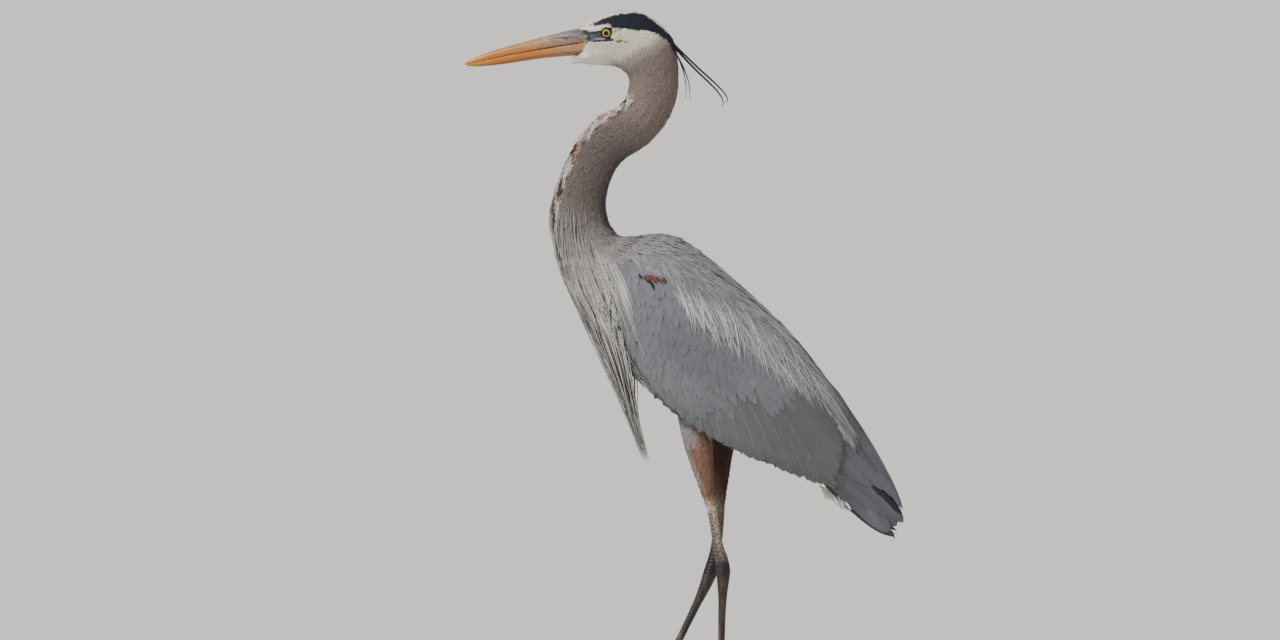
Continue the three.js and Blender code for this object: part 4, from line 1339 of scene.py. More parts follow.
# The least and the added length and half width, the root's depth and the tip's rise above it.
covertValues = {"spacing": 8.6, "vary": 0.1, "length": (38, 24), "halfWidth": (4.4, 2.4), "sink": 1.6,
                "rise": 1.9, "riseVary": 0.08, "toneVary": 0.03,
                "foot": ([-60, -20, 30, 80, 120, 150, 185], [410, 410, 458, 450, 440, 424, 392])}


def wingShade(points):
    # quiet grey, a little lighter high up and darker low on the wing and behind, with a patch of painted
    # shadow below the shoulder plumes
    x, _, z = points.T
    shade = plain("wing", points) * (0.94 + 0.12 * noiseAt(points, 28, 16))[:, None]
    shade = shade * (1 + 0.1 * smoothStep(520, 600, z))[:, None]
    # painted shadow, where the shoulder plumes shade the coverts below them
    shadow = ((x + 12) / 46) ** 2 + ((z - 500 + 0.5 * (x + 12)) / 34) ** 2
    shade = shade * (1 - 0.16 * smoothStep(1.3, 0.2, shadow))[:, None]
    return shade * (1 - 0.2 * smoothStep(475, 385, z) - 0.08 * smoothStep(40, 150, x))[:, None]


def buildCoverts(side, label):
    t = stationsOf("covert")
    x, y, z = envelope.points.T
    mask = (y * side > 6) & insideArea(x, z, covertArea) & (envelopeRegion > 0) & (envelopeRegion < 4)
    roots, normals = sampled(envelope, mask, covertValues["spacing"])
    # they thin out towards the foot of their area
    above = roots[:, 2] - np.interp(roots[:, 0], *covertValues["foot"])
    kept = random.random(len(roots)) < 0.4 + smoothStep(0, 22, above)
    roots, normals = roots[kept], normals[kept]
    size = smoothStep(-90, 130, roots[:, 0] + 0.5 * (520 - roots[:, 2]))
    count = len(roots)
    vary = varied(covertValues["vary"], (2, count))
    (least, longer), (narrow, wider) = covertValues["length"], covertValues["halfWidth"]
    length, halfWidth = (least + longer * size) * vary[0], (narrow + wider * size) * vary[1]
    centres, facing = laidShafts(roots, normals, length, t)
    rise = covertValues["rise"] + random.normal(0, covertValues["riseVary"], count)
    rise = rise[:, None] * t[None] ** 0.9 - covertValues["sink"]
    shades = wingShade(roots) * varied(covertValues["toneVary"], (count, 1))
    vanes("coverts" + label, centres, facing, halfWidth, shades, covertStyle, rise, -side)


# Tips of the secondaries along the lower edge of the wing and up its hind edge.
secondaryTips = [(-58, 412), (-36, 397), (-14, 381), (8, 364), (26, 353), (44, 345), (60, 339), (76, 333),
                 (92, 326), (107, 321), (122, 315), (136, 309), (149, 306), (161, 306), (169, 314),
                 (173, 327), (175, 341), (176, 354)]
# Lengths and half widths by the tip's x; every other feather is a little shorter and shows no pale shaft.
secondaryValues = {"pairs": 13, "length": ([-58, 0, 60, 180], [60, 100, 122, 136]), "short": (1, 0.97),
                   "halfWidth": ([-58, 40, 180], [8, 9.5, 10.5]), "shaft": (0.55, 0.05), "bow": 0.045,
                   "fan": (-0.1, -0.12), "sink": 2.4, "rise": 1.9, "step": 0.09, "toneVary": 0.03}


def buildSecondaries(side, label):
    t, pairs = stationsOf("flight"), secondaryValues["pairs"]
    count = 2 * pairs
    tips = curveAt(secondaryTips, np.linspace(0, len(secondaryTips) - 1, count))
    length = np.interp(tips[:, 0], *secondaryValues["length"]) * np.tile(secondaryValues["short"], pairs)
    paths = []
    for tip, reach in zip(tips, length):
        lie = lieAt(np.array([tip]))[0][[0, 2]]
        root = tip - reach * unit(lie + secondaryValues["fan"])
        middle = 0.55 * tip + 0.45 * root + secondaryValues["bow"] * reach * np.array([-lie[1], lie[0]])
        paths.append([root, middle, tip])
    centres, facing = drawnShafts(paths, side, t)
    halfWidth = np.interp(tips[:, 0], *secondaryValues["halfWidth"])
    rise = secondaryValues["rise"] * t[None] - secondaryValues["sink"]
    rise = rise + secondaryValues["step"] * np.arange(count)[:, None]
    shades = wingShade(centres[:, 6]) * varied(secondaryValues["toneVary"], (count, 1))
    style = {**flightStyle, "shaftTone": np.tile(secondaryValues["shaft"], pairs)[:, None, None]}
    vanes("secondaries" + label, centres, facing, halfWidth, shades, style, rise, -side)


# The long inner feathers that close the back, and the stack of quills that shows below them: the places
# their shafts pass, half width, height off the surface and tone.
tertials = [
    ([(92, 440), (136, 388), (180, 340), (216, 302)], 13, -1.5, 0.95),
    ([(104, 452), (148, 402), (192, 348), (234, 297)], 13, -1.1, 1),
    ([(116, 462), (158, 412), (202, 352), (246, 286)], 12, -0.7, 1.04),
    ([(126, 470), (168, 418), (212, 352), (254, 273)], 9, -0.3, 1.08),
]
primaries = [
    # the lowest quill, near black: partly the folded wing's dark underside, partly painted shade beneath it
    ([(139, 318), (175, 283), (213, 251), (243, 235)], 7, -3, 0.28),
    ([(138, 335), (176, 302), (212, 270), (240, 247)], 12, -2.7, 0.9),
    ([(140, 348), (180, 314), (218, 281), (247, 252)], 13, -2.4, 0.95),
    ([(146, 358), (186, 324), (226, 290), (255, 257)], 12, -2.1, 0.9),
    # a narrow, nearly black quill: painted shadow in the slit between the primaries and the tertials
    ([(158, 372), (183, 341), (208, 313), (232, 290), (253, 267)], 5.5, -1.8, 0.2),
]
quillStyle = {**flightStyle, "edgeTone": -0.22, "shaftTone": 0.2}


def buildQuills(name, side, label, rows):
    t = stationsOf("flight")
    paths, halfWidth, height, tone = zip(*rows)
    centres, facing = drawnShafts(paths, side, t, upright=2.5)
    rise = np.array(height)[:, None] - (1 - t[None]) ** 2
    vanes(name + label, centres, facing, np.array(halfWidth), tint["flight"] * np.array(tone)[:, None],
          quillStyle, rise, -side)


def bezier(starts, starting, endings, ends, t):
    t = t[None, :, None]
    return ((1 - t) ** 3 * starts[:, None] + 3 * t * (1 - t) ** 2 * starting[:, None]
            + 3 * t ** 2 * (1 - t) * endings[:, None] + t ** 3 * ends[:, None])


def shaded(low, high, share):
    return tint[low] + (tint[high] - tint[low]) * share


# Where the long loose plumes of the shoulder are rooted and where they end, front to rear.
plumeRoots = [(-34, 561), (-18, 557), (10, 546), (44, 528), (84, 494), (122, 456)]
plumeTips = [(-16, 504), (18, 476), (56, 452), (104, 418), (156, 388), (206, 350)]
scapularStyle = {"shape": "lance", "camber": 0.1, "tilt": 0, "thick": 0.14, "tipTone": 0.12,
                 "edgeTone": 0.02, "rootTone": 0.12, "round": 0.35}
plumeStyle = {**scapularStyle, "camber": 0.3, "tipTone": 0.1, "rootTone": 0.1, "round": 0.45}
# Short is the most by which a feather falls short of its place, and values in pairs are the mean and
# how much it varies.
scapulars = {"count": 170, "short": 0.75, "scatter": 9, "halfWidth": (1.8, 0.2), "from": -1.2,
             "rise": (2.6, 0.3)}
plumes = {"count": 92, "short": 0.42, "scatter": 7, "halfWidth": (0.55, 0.4), "from": 1.0,
          "rise": (1.5, 0.4)}


# How a shoulder feather's shaft sags: the handles of its curve as shares of its length, and the mean
# and variation of its swing; then how much the ends scatter.
shoulderCurve = {"start": (0.33, 0.8), "end": (0.3, 0.6), "swing": (0.16, 0.06), "endScatter": 2.5}


def shoulderShafts(side, values, t):
    count, scatter = values["count"], values["scatter"]
    place = (len(plumeRoots) - 1) * random.random(count)
    starts = curveAt(plumeRoots, place) + random.normal(0, scatter, (count, 2))
    share = 1 - values["short"] * random.random(count)
    ends = starts + (curveAt(plumeTips, place) - starts) * share[:, None]
    ends = ends + random.normal(0, shoulderCurve["endScatter"], (count, 2))
    gap = ends - starts
    away = np.linalg.norm(gap, axis=1, keepdims=True)
    heading = gap / away
    down = np.stack([heading[:, 1], -heading[:, 0]], 1)
    swing = random.normal(*shoulderCurve["swing"], (count, 1))
    (reach, sag), (endReach, endSag) = shoulderCurve["start"], shoulderCurve["end"]
    path = bezier(starts, starts + away * (reach * heading - swing * down * sag),
                  ends - away * (endReach * heading + swing * down * endSag), ends, t)
    return laidOnSide(path, side)[1:]


def slopes(values, t, power=1):
    # how far each shaft stands off the surface along its length
    mean, vary = values["rise"]
    return values["from"] + (mean + random.normal(0, vary, values["count"]))[:, None] * t[None] ** power


def buildShoulder(side, label):
    t = stationsOf("lance")
    count = scapulars["count"]
    centres, facing = shoulderShafts(side, scapulars, t)
    rise = slopes(scapulars, t)
    shades = shaded("mantle", "plume", 0.3 * random.random((count, 1)) ** 2) * varied(0.07, (count, 1))
    halfWidth = scapulars["halfWidth"][0] * varied(scapulars["halfWidth"][1], count)
    vanes("scapulars" + label, centres, facing, halfWidth, shades, scapularStyle, rise, -side)
    count = plumes["count"]
    centres, facing = shoulderShafts(side, plumes, t)
    rise = slopes(plumes, t, 0.7)
    shades = shaded("mantle", "white", 0.1 + 0.75 * random.random((count, 1)) ** 0.9)
    halfWidth = plumes["halfWidth"][0] * varied(plumes["halfWidth"][1], count)
    vanes("shoulderPlumes" + label, centres, facing, halfWidth, shades, plumeStyle, rise, -side,
          rootShades=plain("mantle", shades))


# Lengths, half widths and slopes by the place along the spine.
mantleValues = {"spacing": 6.9, "from": 15.6, "to": 22.2, "around": 2.15, "frontOf": 176,
                "length": ([15.6, 17, 19, 20.5, 22], [24, 38, 60, 52, 34]),
                "halfWidth": ([15.6, 18, 21], [2.5, 2.3, 2.1]), "slope": ([15.6, 18.5], [2.0, 2.7]),
                "sink": 1.5, "rear": 0.9, "pale": 0.6, "root": (0.4, 0.56)}


def buildMantle():
    # long narrow feathers of the back, short over the hump and longest towards the tail
    t = stationsOf("lance")
    mask = (envelopeRegion > 0) & (envelopeRegion < 3) & (envelopeAround > mantleValues["around"])
    mask &= (envelopePlace > mantleValues["from"]) & (envelopePlace < mantleValues["to"])
    mask &= envelope.points[:, 0] < mantleValues["frontOf"]
    roots, normals = sampled(envelope, mask, mantleValues["spacing"])
    _, _, at = bodyPlace(roots)
    count = len(roots)
    length = np.interp(at, *mantleValues["length"]) * varied(0.1, count)
    halfWidth = np.interp(at, *mantleValues["halfWidth"]) * varied(0.15, count)
    centres, facing = laidShafts(roots, normals, length, t)
    slope = np.interp(at, *mantleValues["slope"]) + random.normal(0, 0.2, count)
    rear = mantleValues["rear"] * smoothStep(19.5, 21.5, at)[:, None]
    rise = slope[:, None] * t[None] - mantleValues["sink"] + rear
    pale = random.random((count, 1)) ** 2.2 * smoothStep(17, 19.5, at)[:, None]
    shades = shaded("mantle", "plume", mantleValues["pale"] * pale) * varied(0.06, (count, 1))
    own, even = mantleValues["root"]
    vanes("mantle", centres, facing, halfWidth, shades, scapularStyle, rise,
          rootShades=shades * own + tint["mantle"] * even)


buildMantle()
for side, label in sides:
    buildQuills("primaries", side, label, primaries)
    buildSecondaries(side, label)
    buildQuills("tertials", side, label, tertials)
    buildCoverts(side, label)
    buildShoulder(side, label)


def keptOutside(centres, clearance, reach=40):
    # moves the parts of free plumes that lie under the bird's surface out to just above it
    for _ in range(2):
        flat = centres.reshape(-1, 3)
        near, facing = envelope.nearest(flat)
        above = ((flat - near) * facing).sum(1)
        need = np.broadcast_to(clearance, centres.shape[:-1]).reshape(-1)
        low = (above < need) & (np.linalg.norm(flat - near, axis=1) < reach)
        centres = np.where(low[:, None], near + facing * need[:, None], flat).reshape(centres.shape)
        for _ in range(2):
            centres[:, 1:-1] = 0.5 * centres[:, 1:-1] + 0.25 * (centres[:, :-2] + centres[:, 2:])
    return centres, facing.reshape(centres.shape)


# Counts and spacings, where along the spine and how far round it the plumes are rooted and above which
# height, the laid ones' lengths along it, and how long and how far drawn in the hanging ones are.
breastValues = {"laid": 430, "hanging": 250, "dark": 80, "laidSpacing": 4.8, "hangingSpacing": 6,
                "laidFrom": 12.3, "laidTo": 16.6, "laidAround": 2.0, "laidAbove": 500,
                "hangingFrom": 14.2, "hangingTo": 17.4, "hangingAround": 1.5, "hangingAbove": 462,
                "laidLength": ([12.3, 14, 16], [40, 66, 80]), "laidRise": (2.6, 0.5), "laidSink": 0.4,
                "halfWidth": 0.66, "widthVary": 0.25, "hangingWider": 1.15, "shortest": 0.62,
                "drawnIn": 0.55, "hang": (0.36, 0, -0.93), "clearance": (0.3, 2.6, 0.4)}
# The hind edge of the breast's laid plumes, as z and x.
bibEdge = ([500, 560, 600, 640], [-112, -112, -104, -90])
# The line down the middle of the hanging bundle: x, z, half width and half depth.
bundle = [(-140, 535, 26, 13), (-120, 493, 26, 14), (-103, 455, 21, 10), (-90, 417, 14, 6.5),
          (-79, 382, 10, 6), (-72, 350, 8, 6), (-66, 330, 6, 5)]
plumeLance = {"shape": "lance", "camber": 0.3, "tilt": 0, "thick": 0.3, "tipTone": 0.1, "rootTone": 0.3,
              "edgeTone": 0.03, "round": 0.45, "hug": 3, "slot": "breast_plume"}


def hangingLie(spots, facing):
    return unit(flowAt(spots, facing) + [0.05, 0, -1.2])


def plumeShades(count, dark, share):
    pale = random.random((count, 1)) ** 0.9 * np.reshape(share, (-1, 1))
    shades = shaded("neckFoot", "white", 0.05 + 0.75 * pale)
    return np.where(random.random((count, 1)) < dark, tint["slate"], shades)


def breastArea(kind):
    place, height = envelopePlace, envelope.points[:, 2]
    area = (place > breastValues[kind + "From"]) & (place < breastValues[kind + "To"])
    return area & (envelopeAround < breastValues[kind + "Around"]) & (height > breastValues[kind + "Above"])


def breastRoots(mask, spacing, count):
    roots, normals = sampled(envelope, mask & (envelopeRegion < 2), spacing)
    order = random.permutation(len(roots))[:count]
    return roots[order], normals[order]


def buildLaidPlumes():
    # the upper part of the bib, pressed to the breast and darker down its front
    t = stationsOf("lance")
    x, _, z = envelope.points.T
    bib = breastArea("laid") & (x < np.interp(z, *bibEdge))
    roots, normals = breastRoots(bib, breastValues["laidSpacing"], breastValues["laid"])
    _, turn, at = bodyPlace(roots)
    count = len(roots)
    length = np.interp(at, *breastValues["laidLength"]) * varied(0.2, count)
    centres, facing = laidShafts(roots, normals, length, t, hangingLie)
    mean, vary = breastValues["laidRise"]
    rise = (mean + random.normal(0, vary, count))[:, None] * t[None] - breastValues["laidSink"]
    halfWidth = breastValues["halfWidth"] * varied(breastValues["widthVary"], count)
    front = 1 - smoothStep(0.15, 0.75, np.abs(turn))[:, None]
    shades = plumeShades(count, 0.06 + 0.5 * front, smoothStep(12.3, 15.5, at) * (1 - 0.6 * front[:, 0]))
    vanes("breastPlumesLaid", centres, facing, halfWidth, shades, plumeLance, rise,
          rootShades=plumageColour(roots, np.zeros(count)))


def buildHangingPlumes():
    # the long lower plumes, which leave the breast and hang together
    t = stationsOf("lance")
    wanted = breastValues["hanging"] + breastValues["dark"]
    roots, normals = breastRoots(breastArea("hanging"), breastValues["hangingSpacing"], wanted)
    count = len(roots)
    share = 1 - breastValues["shortest"] * random.random(count) ** 1.7
    x, z, halfWide, halfDeep = curveAt(bundle, (len(bundle) - 1) * share).T
    turn, out = 2 * math.pi * random.random(count), random.random(count) ** 0.5
    tips = np.stack([x + halfDeep * out * np.cos(turn), halfWide * out * np.sin(turn), z], 1)
    ownSide = np.sign(roots[:, 1]) * np.minimum(np.abs(roots[:, 1]), halfWide)
    tips[:, 1] = breastValues["drawnIn"] * tips[:, 1] + (1 - breastValues["drawnIn"]) * ownSide
    far = np.linalg.norm(tips - roots, axis=1, keepdims=True)
    lie = unit(across(hangingLie(roots, normals), normals))
    hang = unit(np.array(breastValues["hang"]))
    centres = bezier(roots - normals, roots + 0.32 * far * lie, tips - 0.35 * far * hang, tips, t)
    least, swell, more = breastValues["clearance"]
    clearance = np.maximum(least, swell * np.sin(math.pi * np.minimum(t, 0.8))) + more
    centres, facing = keptOutside(centres, clearance)
    facing = unit(facing + facing.mean(1, keepdims=True) + [0, 0.01, 0] * np.sign(roots[:, None]))
    halfWidth = breastValues["halfWidth"] * varied(breastValues["widthVary"], count)
    front = 1 - smoothStep(0.15, 0.8, np.abs(bodyPlace(roots)[1]))[:, None]
    shades = plumeShades(count, breastValues["dark"] / count + 0.3 * front, 1 - 0.5 * front[:, 0])
    vanes("breastPlumes", centres, facing, halfWidth * breastValues["hangingWider"], shades, plumeLance,
          replaced=["breast_plumes"])


# The mark on the shoulder: for each colour its middle line as x and z, then how many feathers it has,
# their length and half width, and their shade.
shoulderMarks = {
    "shoulderBlack": ([(-78, 571), (-70, 568), (-63, 562), (-60, 558)], 14, 8, 0.9, tint["black"] * 1.3),
    "shoulderChestnut": ([(-68, 569), (-61, 568), (-57, 565)], 20, 8, 1.3, tint["chestnut"]),
    "shoulderRust": ([(-54, 566), (-46, 565), (-42, 564)], 9, 7, 0.9, tint["chestnut"] * 0.6),
}


markStyle = {**scapularStyle, "slot": "wing_feather"}


def buildShoulderMark(side, label):
    t = stationsOf("lance")
    for name, (line, count, length, width, shade) in shoulderMarks.items():
        places = curveAt(line, (len(line) - 1) * random.random(count)) + random.normal(0, 0.8, (count, 2))
        roots, normals = envelope.fromSide(inMiddle(places[:, 0], places[:, 1]), side)
        centres, facing = laidShafts(roots, normals, length * varied(0.15, count), t)
        rise = 0.6 + 1.5 * t[None] + random.normal(0, 0.2, (count, 1))
        vanes(name + label, centres, facing, np.full(count, width), shade * varied(0.12, (count, 1)),
              markStyle, rise, -side)


# White in the middle, and as dark as the quills at its sides.
undertailStyle = {**coatStyles["belly"], "length": 16, "lift": 0.05, "under": 2.4, "spacing": 4,
                  "lie": (0.72, 0, -0.69)}
undertailArea = {"x": (140, 178), "below": 312, "halfWidth": 25, "steepest": 0.7, "dark": (14, 22)}
fluffValues = {"count": 60, "x": (148, 184), "halfSpread": 24, "z": 302, "slope": 0.55, "size": (0.35, 1),
               "back": (15, 5), "fall": (10, 22), "halfWidth": 1.1, "tone": 0.9}


def buildUndertail():
    x, y, z = envelope.points.T
    front, rear = undertailArea["x"]
    mask = (x > front) & (x < rear) & (z < undertailArea["below"]) & (np.abs(y) < undertailArea["halfWidth"])
    mask &= np.abs(envelope.normals[:, 1]) < undertailArea["steepest"]
    roots, normals = sampled(envelope, mask, undertailStyle["spacing"])
    lie = unit(across(np.tile(undertailStyle["lie"], (len(roots), 1)), normals))
    dark = smoothStep(*undertailArea["dark"], np.abs(roots[:, 1]))[:, None]
    shades = tint["white"] * (1 - dark) * fluffValues["tone"] + tint["flight"] * dark
    tufts("coatUndertail", roots - undertailStyle["under"] * normals, normals, lie, undertailStyle, shades)


def buildFluff():
    # loose white down that hangs out below the tail
    t, count = stationsOf("lance"), fluffValues["count"]
    x = random.uniform(*fluffValues["x"], count)
    y = random.uniform(-fluffValues["halfSpread"], fluffValues["halfSpread"], count)
    z = fluffValues["z"] - fluffValues["slope"] * (x - fluffValues["x"][0]) + random.normal(0, 2, count)
    start = np.stack([x, y, z], 1)
    size = random.uniform(*fluffValues["size"], count)
    fall = np.stack([size * random.normal(*fluffValues["back"], count), random.normal(0, 3, count),
                     -size * random.uniform(*fluffValues["fall"], count)], 1)
    drop = fall * [0, 0, 0.4]
    centres = bezier(start, start + 0.4 * fall - drop, start + 0.8 * fall + drop, start + fall, t)
    facing = unit(np.stack([np.full(count, 0.3), np.sign(y), np.full(count, -0.4)], 1))
    vanes("undertailFluff", centres, np.broadcast_to(facing[:, None], centres.shape),
          np.full(count, fluffValues["halfWidth"]), plain("white", start) * fluffValues["tone"],
          {**plumeLance, "slot": "back_feather"})


tailStyle = {"shape": "flight", "camber": 0.1, "tilt": 0, "thick": 0.8, "tipTone": 0, "rootTone": 0,
             "edgeTone": -0.15, "round": 0.15, "shaftTone": 0.3, "bake": 0.01,
             "material": flightMaterial, "slot": "flight_feather"}
# The middle line from the root as x and z, and the way that the stack of quills rises over it; the tone is
# painted light, lifting the quills against the shade between the wings.
tailValues = {"count": 12, "line": [(150, 322), (182, 296), (212, 270), (246, 241)], "up": (0.63, 0.776),
              "step": (1.3, 0.7), "height": 4.5, "outerLower": 4.2, "outerShorter": 0.07,
              "halfWidth": 8, "outerNarrower": 1.5, "tone": 1.2}


def buildTail():
    t, count = stationsOf("flight"), tailValues["count"]
    number = np.arange(count)[:, None] - (count - 1) / 2
    out = np.abs(number) / number.max()
    rootX, rootZ = tailValues["line"][0]
    upX, upZ = tailValues["up"]
    x, z = curveAt(tailValues["line"], (len(tailValues["line"]) - 1) * t).T
    spread = number * (tailValues["step"][0] + tailValues["step"][1] * t)
    rise = tailValues["height"] - tailValues["outerLower"] * out * (1 - 0.2 * t)
    short = 1 - tailValues["outerShorter"] * out * t
    centres = np.stack([rootX + (x - rootX) * short + upX * rise, spread,
                        rootZ + (z - rootZ) * short + upZ * rise], -1)
    normals = unit(np.stack([np.full(spread.shape, upX), 0.05 * number + 0 * spread,
                             np.full(spread.shape, upZ)], -1))
    shades = tailValues["tone"] * plain("flight", out) * varied(0.05, (count, 1))
    halfWidth = tailValues["halfWidth"] - tailValues["outerNarrower"] * out[:, 0]
    vanes("tailFeathers", centres, normals, halfWidth, shades, tailStyle, replaced=["tail"])


crest = {
    "crest_plume_left": [(-46, -5, 869), (-24, -6, 846), (0, -8, 823), (19, -9, 806), (31, -9.5, 793),
                         (34.5, -9.5, 785), (30, -9.5, 783)],
    "crest_plume_right": [(-46, 5, 868), (-25, 6, 843), (-2, 9, 819), (17, 12, 801), (27, 14, 788),
                          (29, 14.5, 779), (25, 14.5, 777)],
    "crest_plume_short_left": [(-39, -11, 858), (-25, -12.5, 833), (-18, -13, 808), (-18, -13, 784)],
    "crest_plume_short_right": [(-39, 11, 857), (-23, 14, 830), (-14, 16.5, 806), (-12, 18.5, 780)],
}
crestStyle = {"shape": "streamer", "camber": 0.35, "tilt": 0, "thick": 0.7, "tipTone": 0, "rootTone": 0,
              "edgeTone": 0.25, "round": 0.4, "bake": 0.01, "slot": "crest_plume"}
crestValues = {"halfWidth": 1.5, "shortHalfWidth": 1.1, "tone": 0.8}


def buildCrest():
    t = stationsOf("streamer")
    for name, path in crest.items():
        centres = curveAt(path, (len(path) - 1) * t)[None]
        normals = np.tile([0.25, -1 if "left" in name else 1, 0.35], (1, len(t), 1))
        halfWidth = crestValues["shortHalfWidth" if "short" in name else "halfWidth"]
        shades = tint["crown"][None] * crestValues["tone"]
        vanes(name + "_vane", centres, normals, np.array([halfWidth]), shades, crestStyle, replaced=[name])


buildLaidPlumes()
buildHangingPlumes()
for side, label in sides:
    buildShoulderMark(side, label)
buildUndertail()
buildFluff()
buildTail()
buildCrest()


def loftPiece(name, rings, material, replaced=()):
    # a closed form drawn out ring by ring from a circle
    bm = bmesh.new()
    row = list(bmesh.ops.create_circle(bm, segments=rings.shape[1], radius=1)["verts"])
    for vert, place in zip(row, toFrame(rings[0])):
        vert.co = place
    edges = list(bm.edges)
    for ring in rings[1:]:
        added = bmesh.ops.extrude_edge_only(bm, edges=edges)["geom"]
        fresh = {item for item in added if isinstance(item, bmesh.types.BMVert)}
        row = [next(e.other_vert(v) for e in v.link_edges if e.other_vert(v) in fresh) for v in row]
        edges = [item for item in added if isinstance(item, bmesh.types.BMEdge)
                 and item.verts[0] in fresh and item.verts[1] in fresh]
        for vert, place in zip(row, toFrame(ring)):
            vert.co = place
    bmesh.ops.holes_fill(bm, edges=[edge for edge in bm.edges if edge.is_boundary])
    bmesh.ops.triangulate(bm, faces=[face for face in bm.faces if len(face.verts) > 4])
    bmesh.ops.recalc_face_normals(bm, faces=bm.faces)
    mesh = meshFrom(bm, name)
    shadeSmooth(mesh)
    return addPiece(name, mesh, material, replaced)


# The nostril's ends in x and its height, and how deep it and the groove before it are cut.
billValues = {"rows": 90, "around": 56, "gap": 0.3, "lowerGap": 0.1, "lowerNarrower": 0.93, "ridge": 0.3,
              "nostril": (-186, -163, 861.6), "nostrilDepth": 1.6, "grooveFrom": -225, "grooveDepth": 0.75}


def billRings(upper):
    rows = curveAt(bill, np.linspace(0, len(bill) - 1, billValues["rows"]))
    turn = np.linspace(0, 2 * math.pi, billValues["around"], endpoint=False)
    x, culmen, mouth, foot, halfWidth = (column[:, None] for column in rows.T)
    if upper:
        top, low = culmen, mouth - billValues["gap"]
    else:
        top, low, halfWidth = mouth - billValues["lowerGap"], foot, billValues["lowerNarrower"] * halfWidth
    rise, wide = np.cos(turn)[None], np.sin(turn)[None]
    facing = rise if upper else -rise
    # the face towards the mouth is flat and square-edged, the outer face is a ridge
    ridge = wide * (1 - billValues["ridge"] * facing ** 2)
    full = np.where(facing < 0, np.sign(wide) * np.abs(wide) ** 0.4, ridge)
    flat = np.where(facing < 0, np.sign(rise) * np.abs(rise) ** 0.55, rise)
    y = halfWidth * full
    z = (top + low) / 2 + (top - low) / 2 * flat
    x = x + 0 * y
    if upper:
        start, end, level = billValues["nostril"]
        groove = smoothStep(billValues["grooveFrom"], billValues["grooveFrom"] + 30, x)
        off = np.abs(z - level - np.where(x < start, 0.26, 0.05) * (x - start))
        y = y - np.sign(y) * billValues["grooveDepth"] * groove * smoothStep(2.2, 0, off)
        slit = smoothStep(start - 2, start + 3, x) * smoothStep(end + 2, end - 3, x)
        y = y - np.sign(y) * billValues["nostrilDepth"] * slit * smoothStep(1.1, 0.2, off)
    return np.stack([x, y, z], -1)


# Colours from the root, at 0, to the tip, at 1.
billTints = {
    "upper": [(0, "#7d7075"), (0.22, "#a08675"), (0.45, "#b98650"), (0.75, "#c38126"), (1, "#c48a1f")],
    "lower": [(0, "#b18360"), (0.2, "#b87d44"), (0.42, "#b96f1c"), (0.75, "#bf7710"), (1, "#c08417")],
}


def billColour(points, upper):
    # mauve at the root of the upper bill, orange towards the tip and along the mouth, darker below
    x, y, z = points.T
    out = (-150 - x) / 142
    mouth, foot = (np.interp(-x, billFront, [row[column] for row in bill]) for column in (2, 3))
    stops, shades = zip(*billTints["upper" if upper else "lower"])
    shades = np.array([linear(shade) for shade in shades])
    colour = np.stack([np.interp(out, stops, channel) for channel in shades.T], 1)
    if upper:
        low = z - mouth
        colour = layered(colour,
                         ("billFlesh", 0.6 * smoothStep(8, 3, low) * smoothStep(0.3, 0.1, out)),
                         ("billGold", 0.7 * smoothStep(5, 1, low) * smoothStep(0.1, 0.3, out)))
    else:
        deep = (mouth - z) / (mouth - foot)
        colour = blended(colour, "billBrown", 0.75 * smoothStep(0.4, 1, deep) * smoothStep(1, 0.8, out))
    streak = streaksAt(24, x / 14, y / 3, (z + 0.24 * x) / 1.1)
    share = (0.75 if upper else 0.35) * (1 - 0.75 * out)
    colour = blended(colour, "billStreak", share * smoothStep(0.55, 0.8, streak))
    return colour * (0.93 + 0.14 * noiseAt(points * [0.5, 1, 1], 2, 25))[:, None]


# Metres along, across and up for one lump of the grain, which slopes as the bill does.
hornGrain = {"size": (0.03, 0.0025, 0.0022), "slope": -16}


def hornMaterial(name):
    # polished keratin: a waxy sheath with fine grain along its length
    material, tree, shader = newMaterial(name)
    stretch = addNode(tree, "Mapping", {"Vector": objectPlace(tree),
                                        "Scale": tuple(1 / length for length in hornGrain["size"]),
                                        "Rotation": (0, math.radians(hornGrain["slope"]), 0)})
    grain = noiseNode(tree, stretch, scale=1, detail=5)
    setInputs(tree, grain, {"Roughness": 0.6})
    shade = ranged(tree, grain, (0.3, 0.75), (1.1, 0.8))
    setInputs(tree, shader, {"Base Color": markedColour(tree, shade), "Roughness": 0.38, "IOR": 1.54,
                             "Normal": bumped(tree, grain, strength=0.25, distance=0.0004)})
    return material


def buildBill():
    for label, upper in (("upper", True), ("lower", False)):
        piece = loftPiece(label + "Bill", billRings(upper), hornMaterial(f"polished {label} bill horn"),
                          [label + "_bill"])
        addColours(piece.data, billColour(fromFrame([vert.co for vert in piece.data.vertices]), upper))


eyeValues = {"iris": 5.6, "pupil": 2.5, "limbus": 0.5, "cornea": 0.5, "irisInner": "#7a5a16",
             "irisOuter": "#b0a136", "ring": "#15130f", "black": "#030303", "around": 64, "rings": 40}


def rampNode(tree, value, stops):
    ramp = addNode(tree, "ValToRGB", {"Fac": value})
    while len(ramp.color_ramp.elements) < len(stops):
        ramp.color_ramp.elements.new(0.5)
    for element, (at, colour) in zip(ramp.color_ramp.elements, stops):
        element.position = at
        element.color = fourOf(colour)
    return ramp


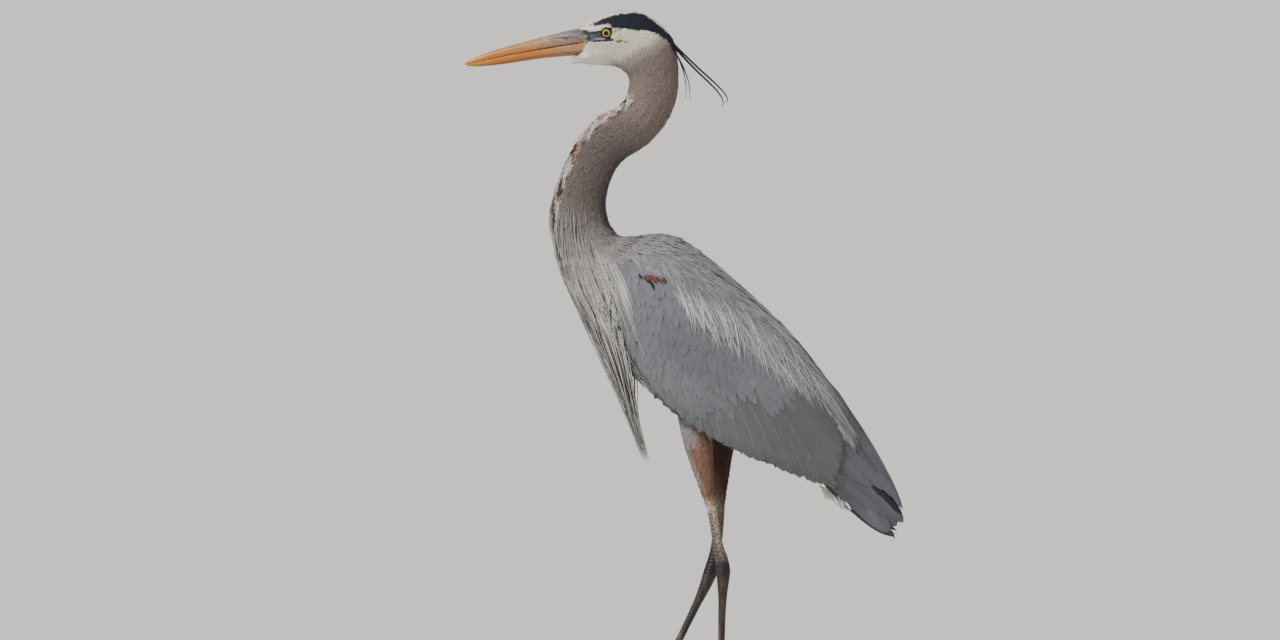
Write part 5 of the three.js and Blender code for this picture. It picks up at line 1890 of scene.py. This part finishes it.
def eyeMaterial(side, label):
    # a wet yellow iris with fine spokes, a black pupil and a dark rim
    centre, gaze = eyeFrame(side)
    material, tree, shader = newMaterial("wet yellow eye " + label)
    place = objectPlace(tree)
    spot = tuple(toFrame(centre + gaze * eye["radius"]))
    away = addNode(tree, "VectorMath", {0: place, 1: spot}, operation="DISTANCE").outputs["Value"]
    edge = eyeValues["pupil"] / eyeValues["iris"]
    rim = 1 - eyeValues["limbus"] / eyeValues["iris"]
    black, outer = eyeValues["black"], eyeValues["irisOuter"]
    ramp = rampNode(tree, maths(tree, "MULTIPLY", away, 1000 / eyeValues["iris"]),
                    [(0, black), (edge - 0.03, black), (edge + 0.04, eyeValues["irisInner"]),
                     (edge + 0.2, outer), (rim - 0.05, outer), (1, eyeValues["ring"])])
    spokes = ranged(tree, noiseNode(tree, place, scale=1400, detail=3), given=(0.7, 1.2))
    setInputs(tree, shader, {"Base Color": times(tree, ramp, spokes), "Roughness": 0.6,
                             "Specular IOR Level": 0.05, "Coat Weight": 0.8, "Coat Roughness": 0.02,
                             "Coat IOR": 1.38})
    return material


def buildEyes():
    for side, label in ((-1, "left"), (1, "right")):
        centre, gaze = eyeFrame(side)
        bm = bmesh.new()
        bmesh.ops.create_uvsphere(bm, u_segments=eyeValues["around"], v_segments=eyeValues["rings"],
                                  radius=eye["radius"] / 1000)
        turn = Vector((0, 0, 1)).rotation_difference(Vector(gaze)).to_matrix()
        for vert in bm.verts:
            place = turn @ vert.co
            bulge = 1 - smoothStep(0.45, 0.75, place.angle(Vector(gaze)))
            grown = 1 + float(bulge) * eyeValues["cornea"] / eye["radius"]
            vert.co = Vector(toFrame(centre)) + place * grown
        mesh = meshFrom(bm, label + "Eye")
        shadeSmooth(mesh)
        addPiece(label + "Eye", mesh, eyeMaterial(side, label), [label + "_eye"])


def clawMaterial():
    # worn dark horn, flecked darker and lighter by a fine noise
    material, tree, shader = newMaterial("dark claw horn")
    grain = noiseNode(tree, objectPlace(tree), scale=600, detail=4)
    ramp = rampNode(tree, grain, [(0.35, "#1a1614"), (1, "#4a4039")])
    setInputs(tree, shader, {"Base Color": ramp, "Roughness": 0.4})
    return material


# How far back into its toe a claw's root is drawn, over what length, and how low it may go, in metres.
clawRoot = {"length": 0.002, "buried": 0.0024, "lowest": 0.0001}


def buildClaws():
    # each claw is drawn from its solid: the same line and length, rounder and with a finer hook
    material = clawMaterial()
    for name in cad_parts:
        if "_claw_" not in name:
            continue
        bm = copyNodes([name], 0)
        bmesh.ops.subdivide_edges(bm, edges=bm.edges, cuts=2, use_grid_fill=True, smooth=0.7)
        bmesh.ops.recalc_face_normals(bm, faces=bm.faces)
        foot = sum(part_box(name.split("_")[0] + "_foot"), Vector()) / 2
        away = [(vert.co - foot).xy.length for vert in bm.verts]
        for vert, reach in zip(bm.verts, away):
            root = max(0, 1 - (reach - min(away)) / clawRoot["length"])
            vert.co.xy -= (vert.co - foot).xy.normalized() * clawRoot["buried"] * root
            vert.co.z = max(vert.co.z, clawRoot["lowest"])
        mesh = meshFrom(bm, name.replace("_claw_", "Claw_"))
        shadeSmooth(mesh)
        addPiece(mesh.name, mesh, material, [name])


buildBill()
buildEyes()
buildClaws()
print("bill, eyes and claws made")
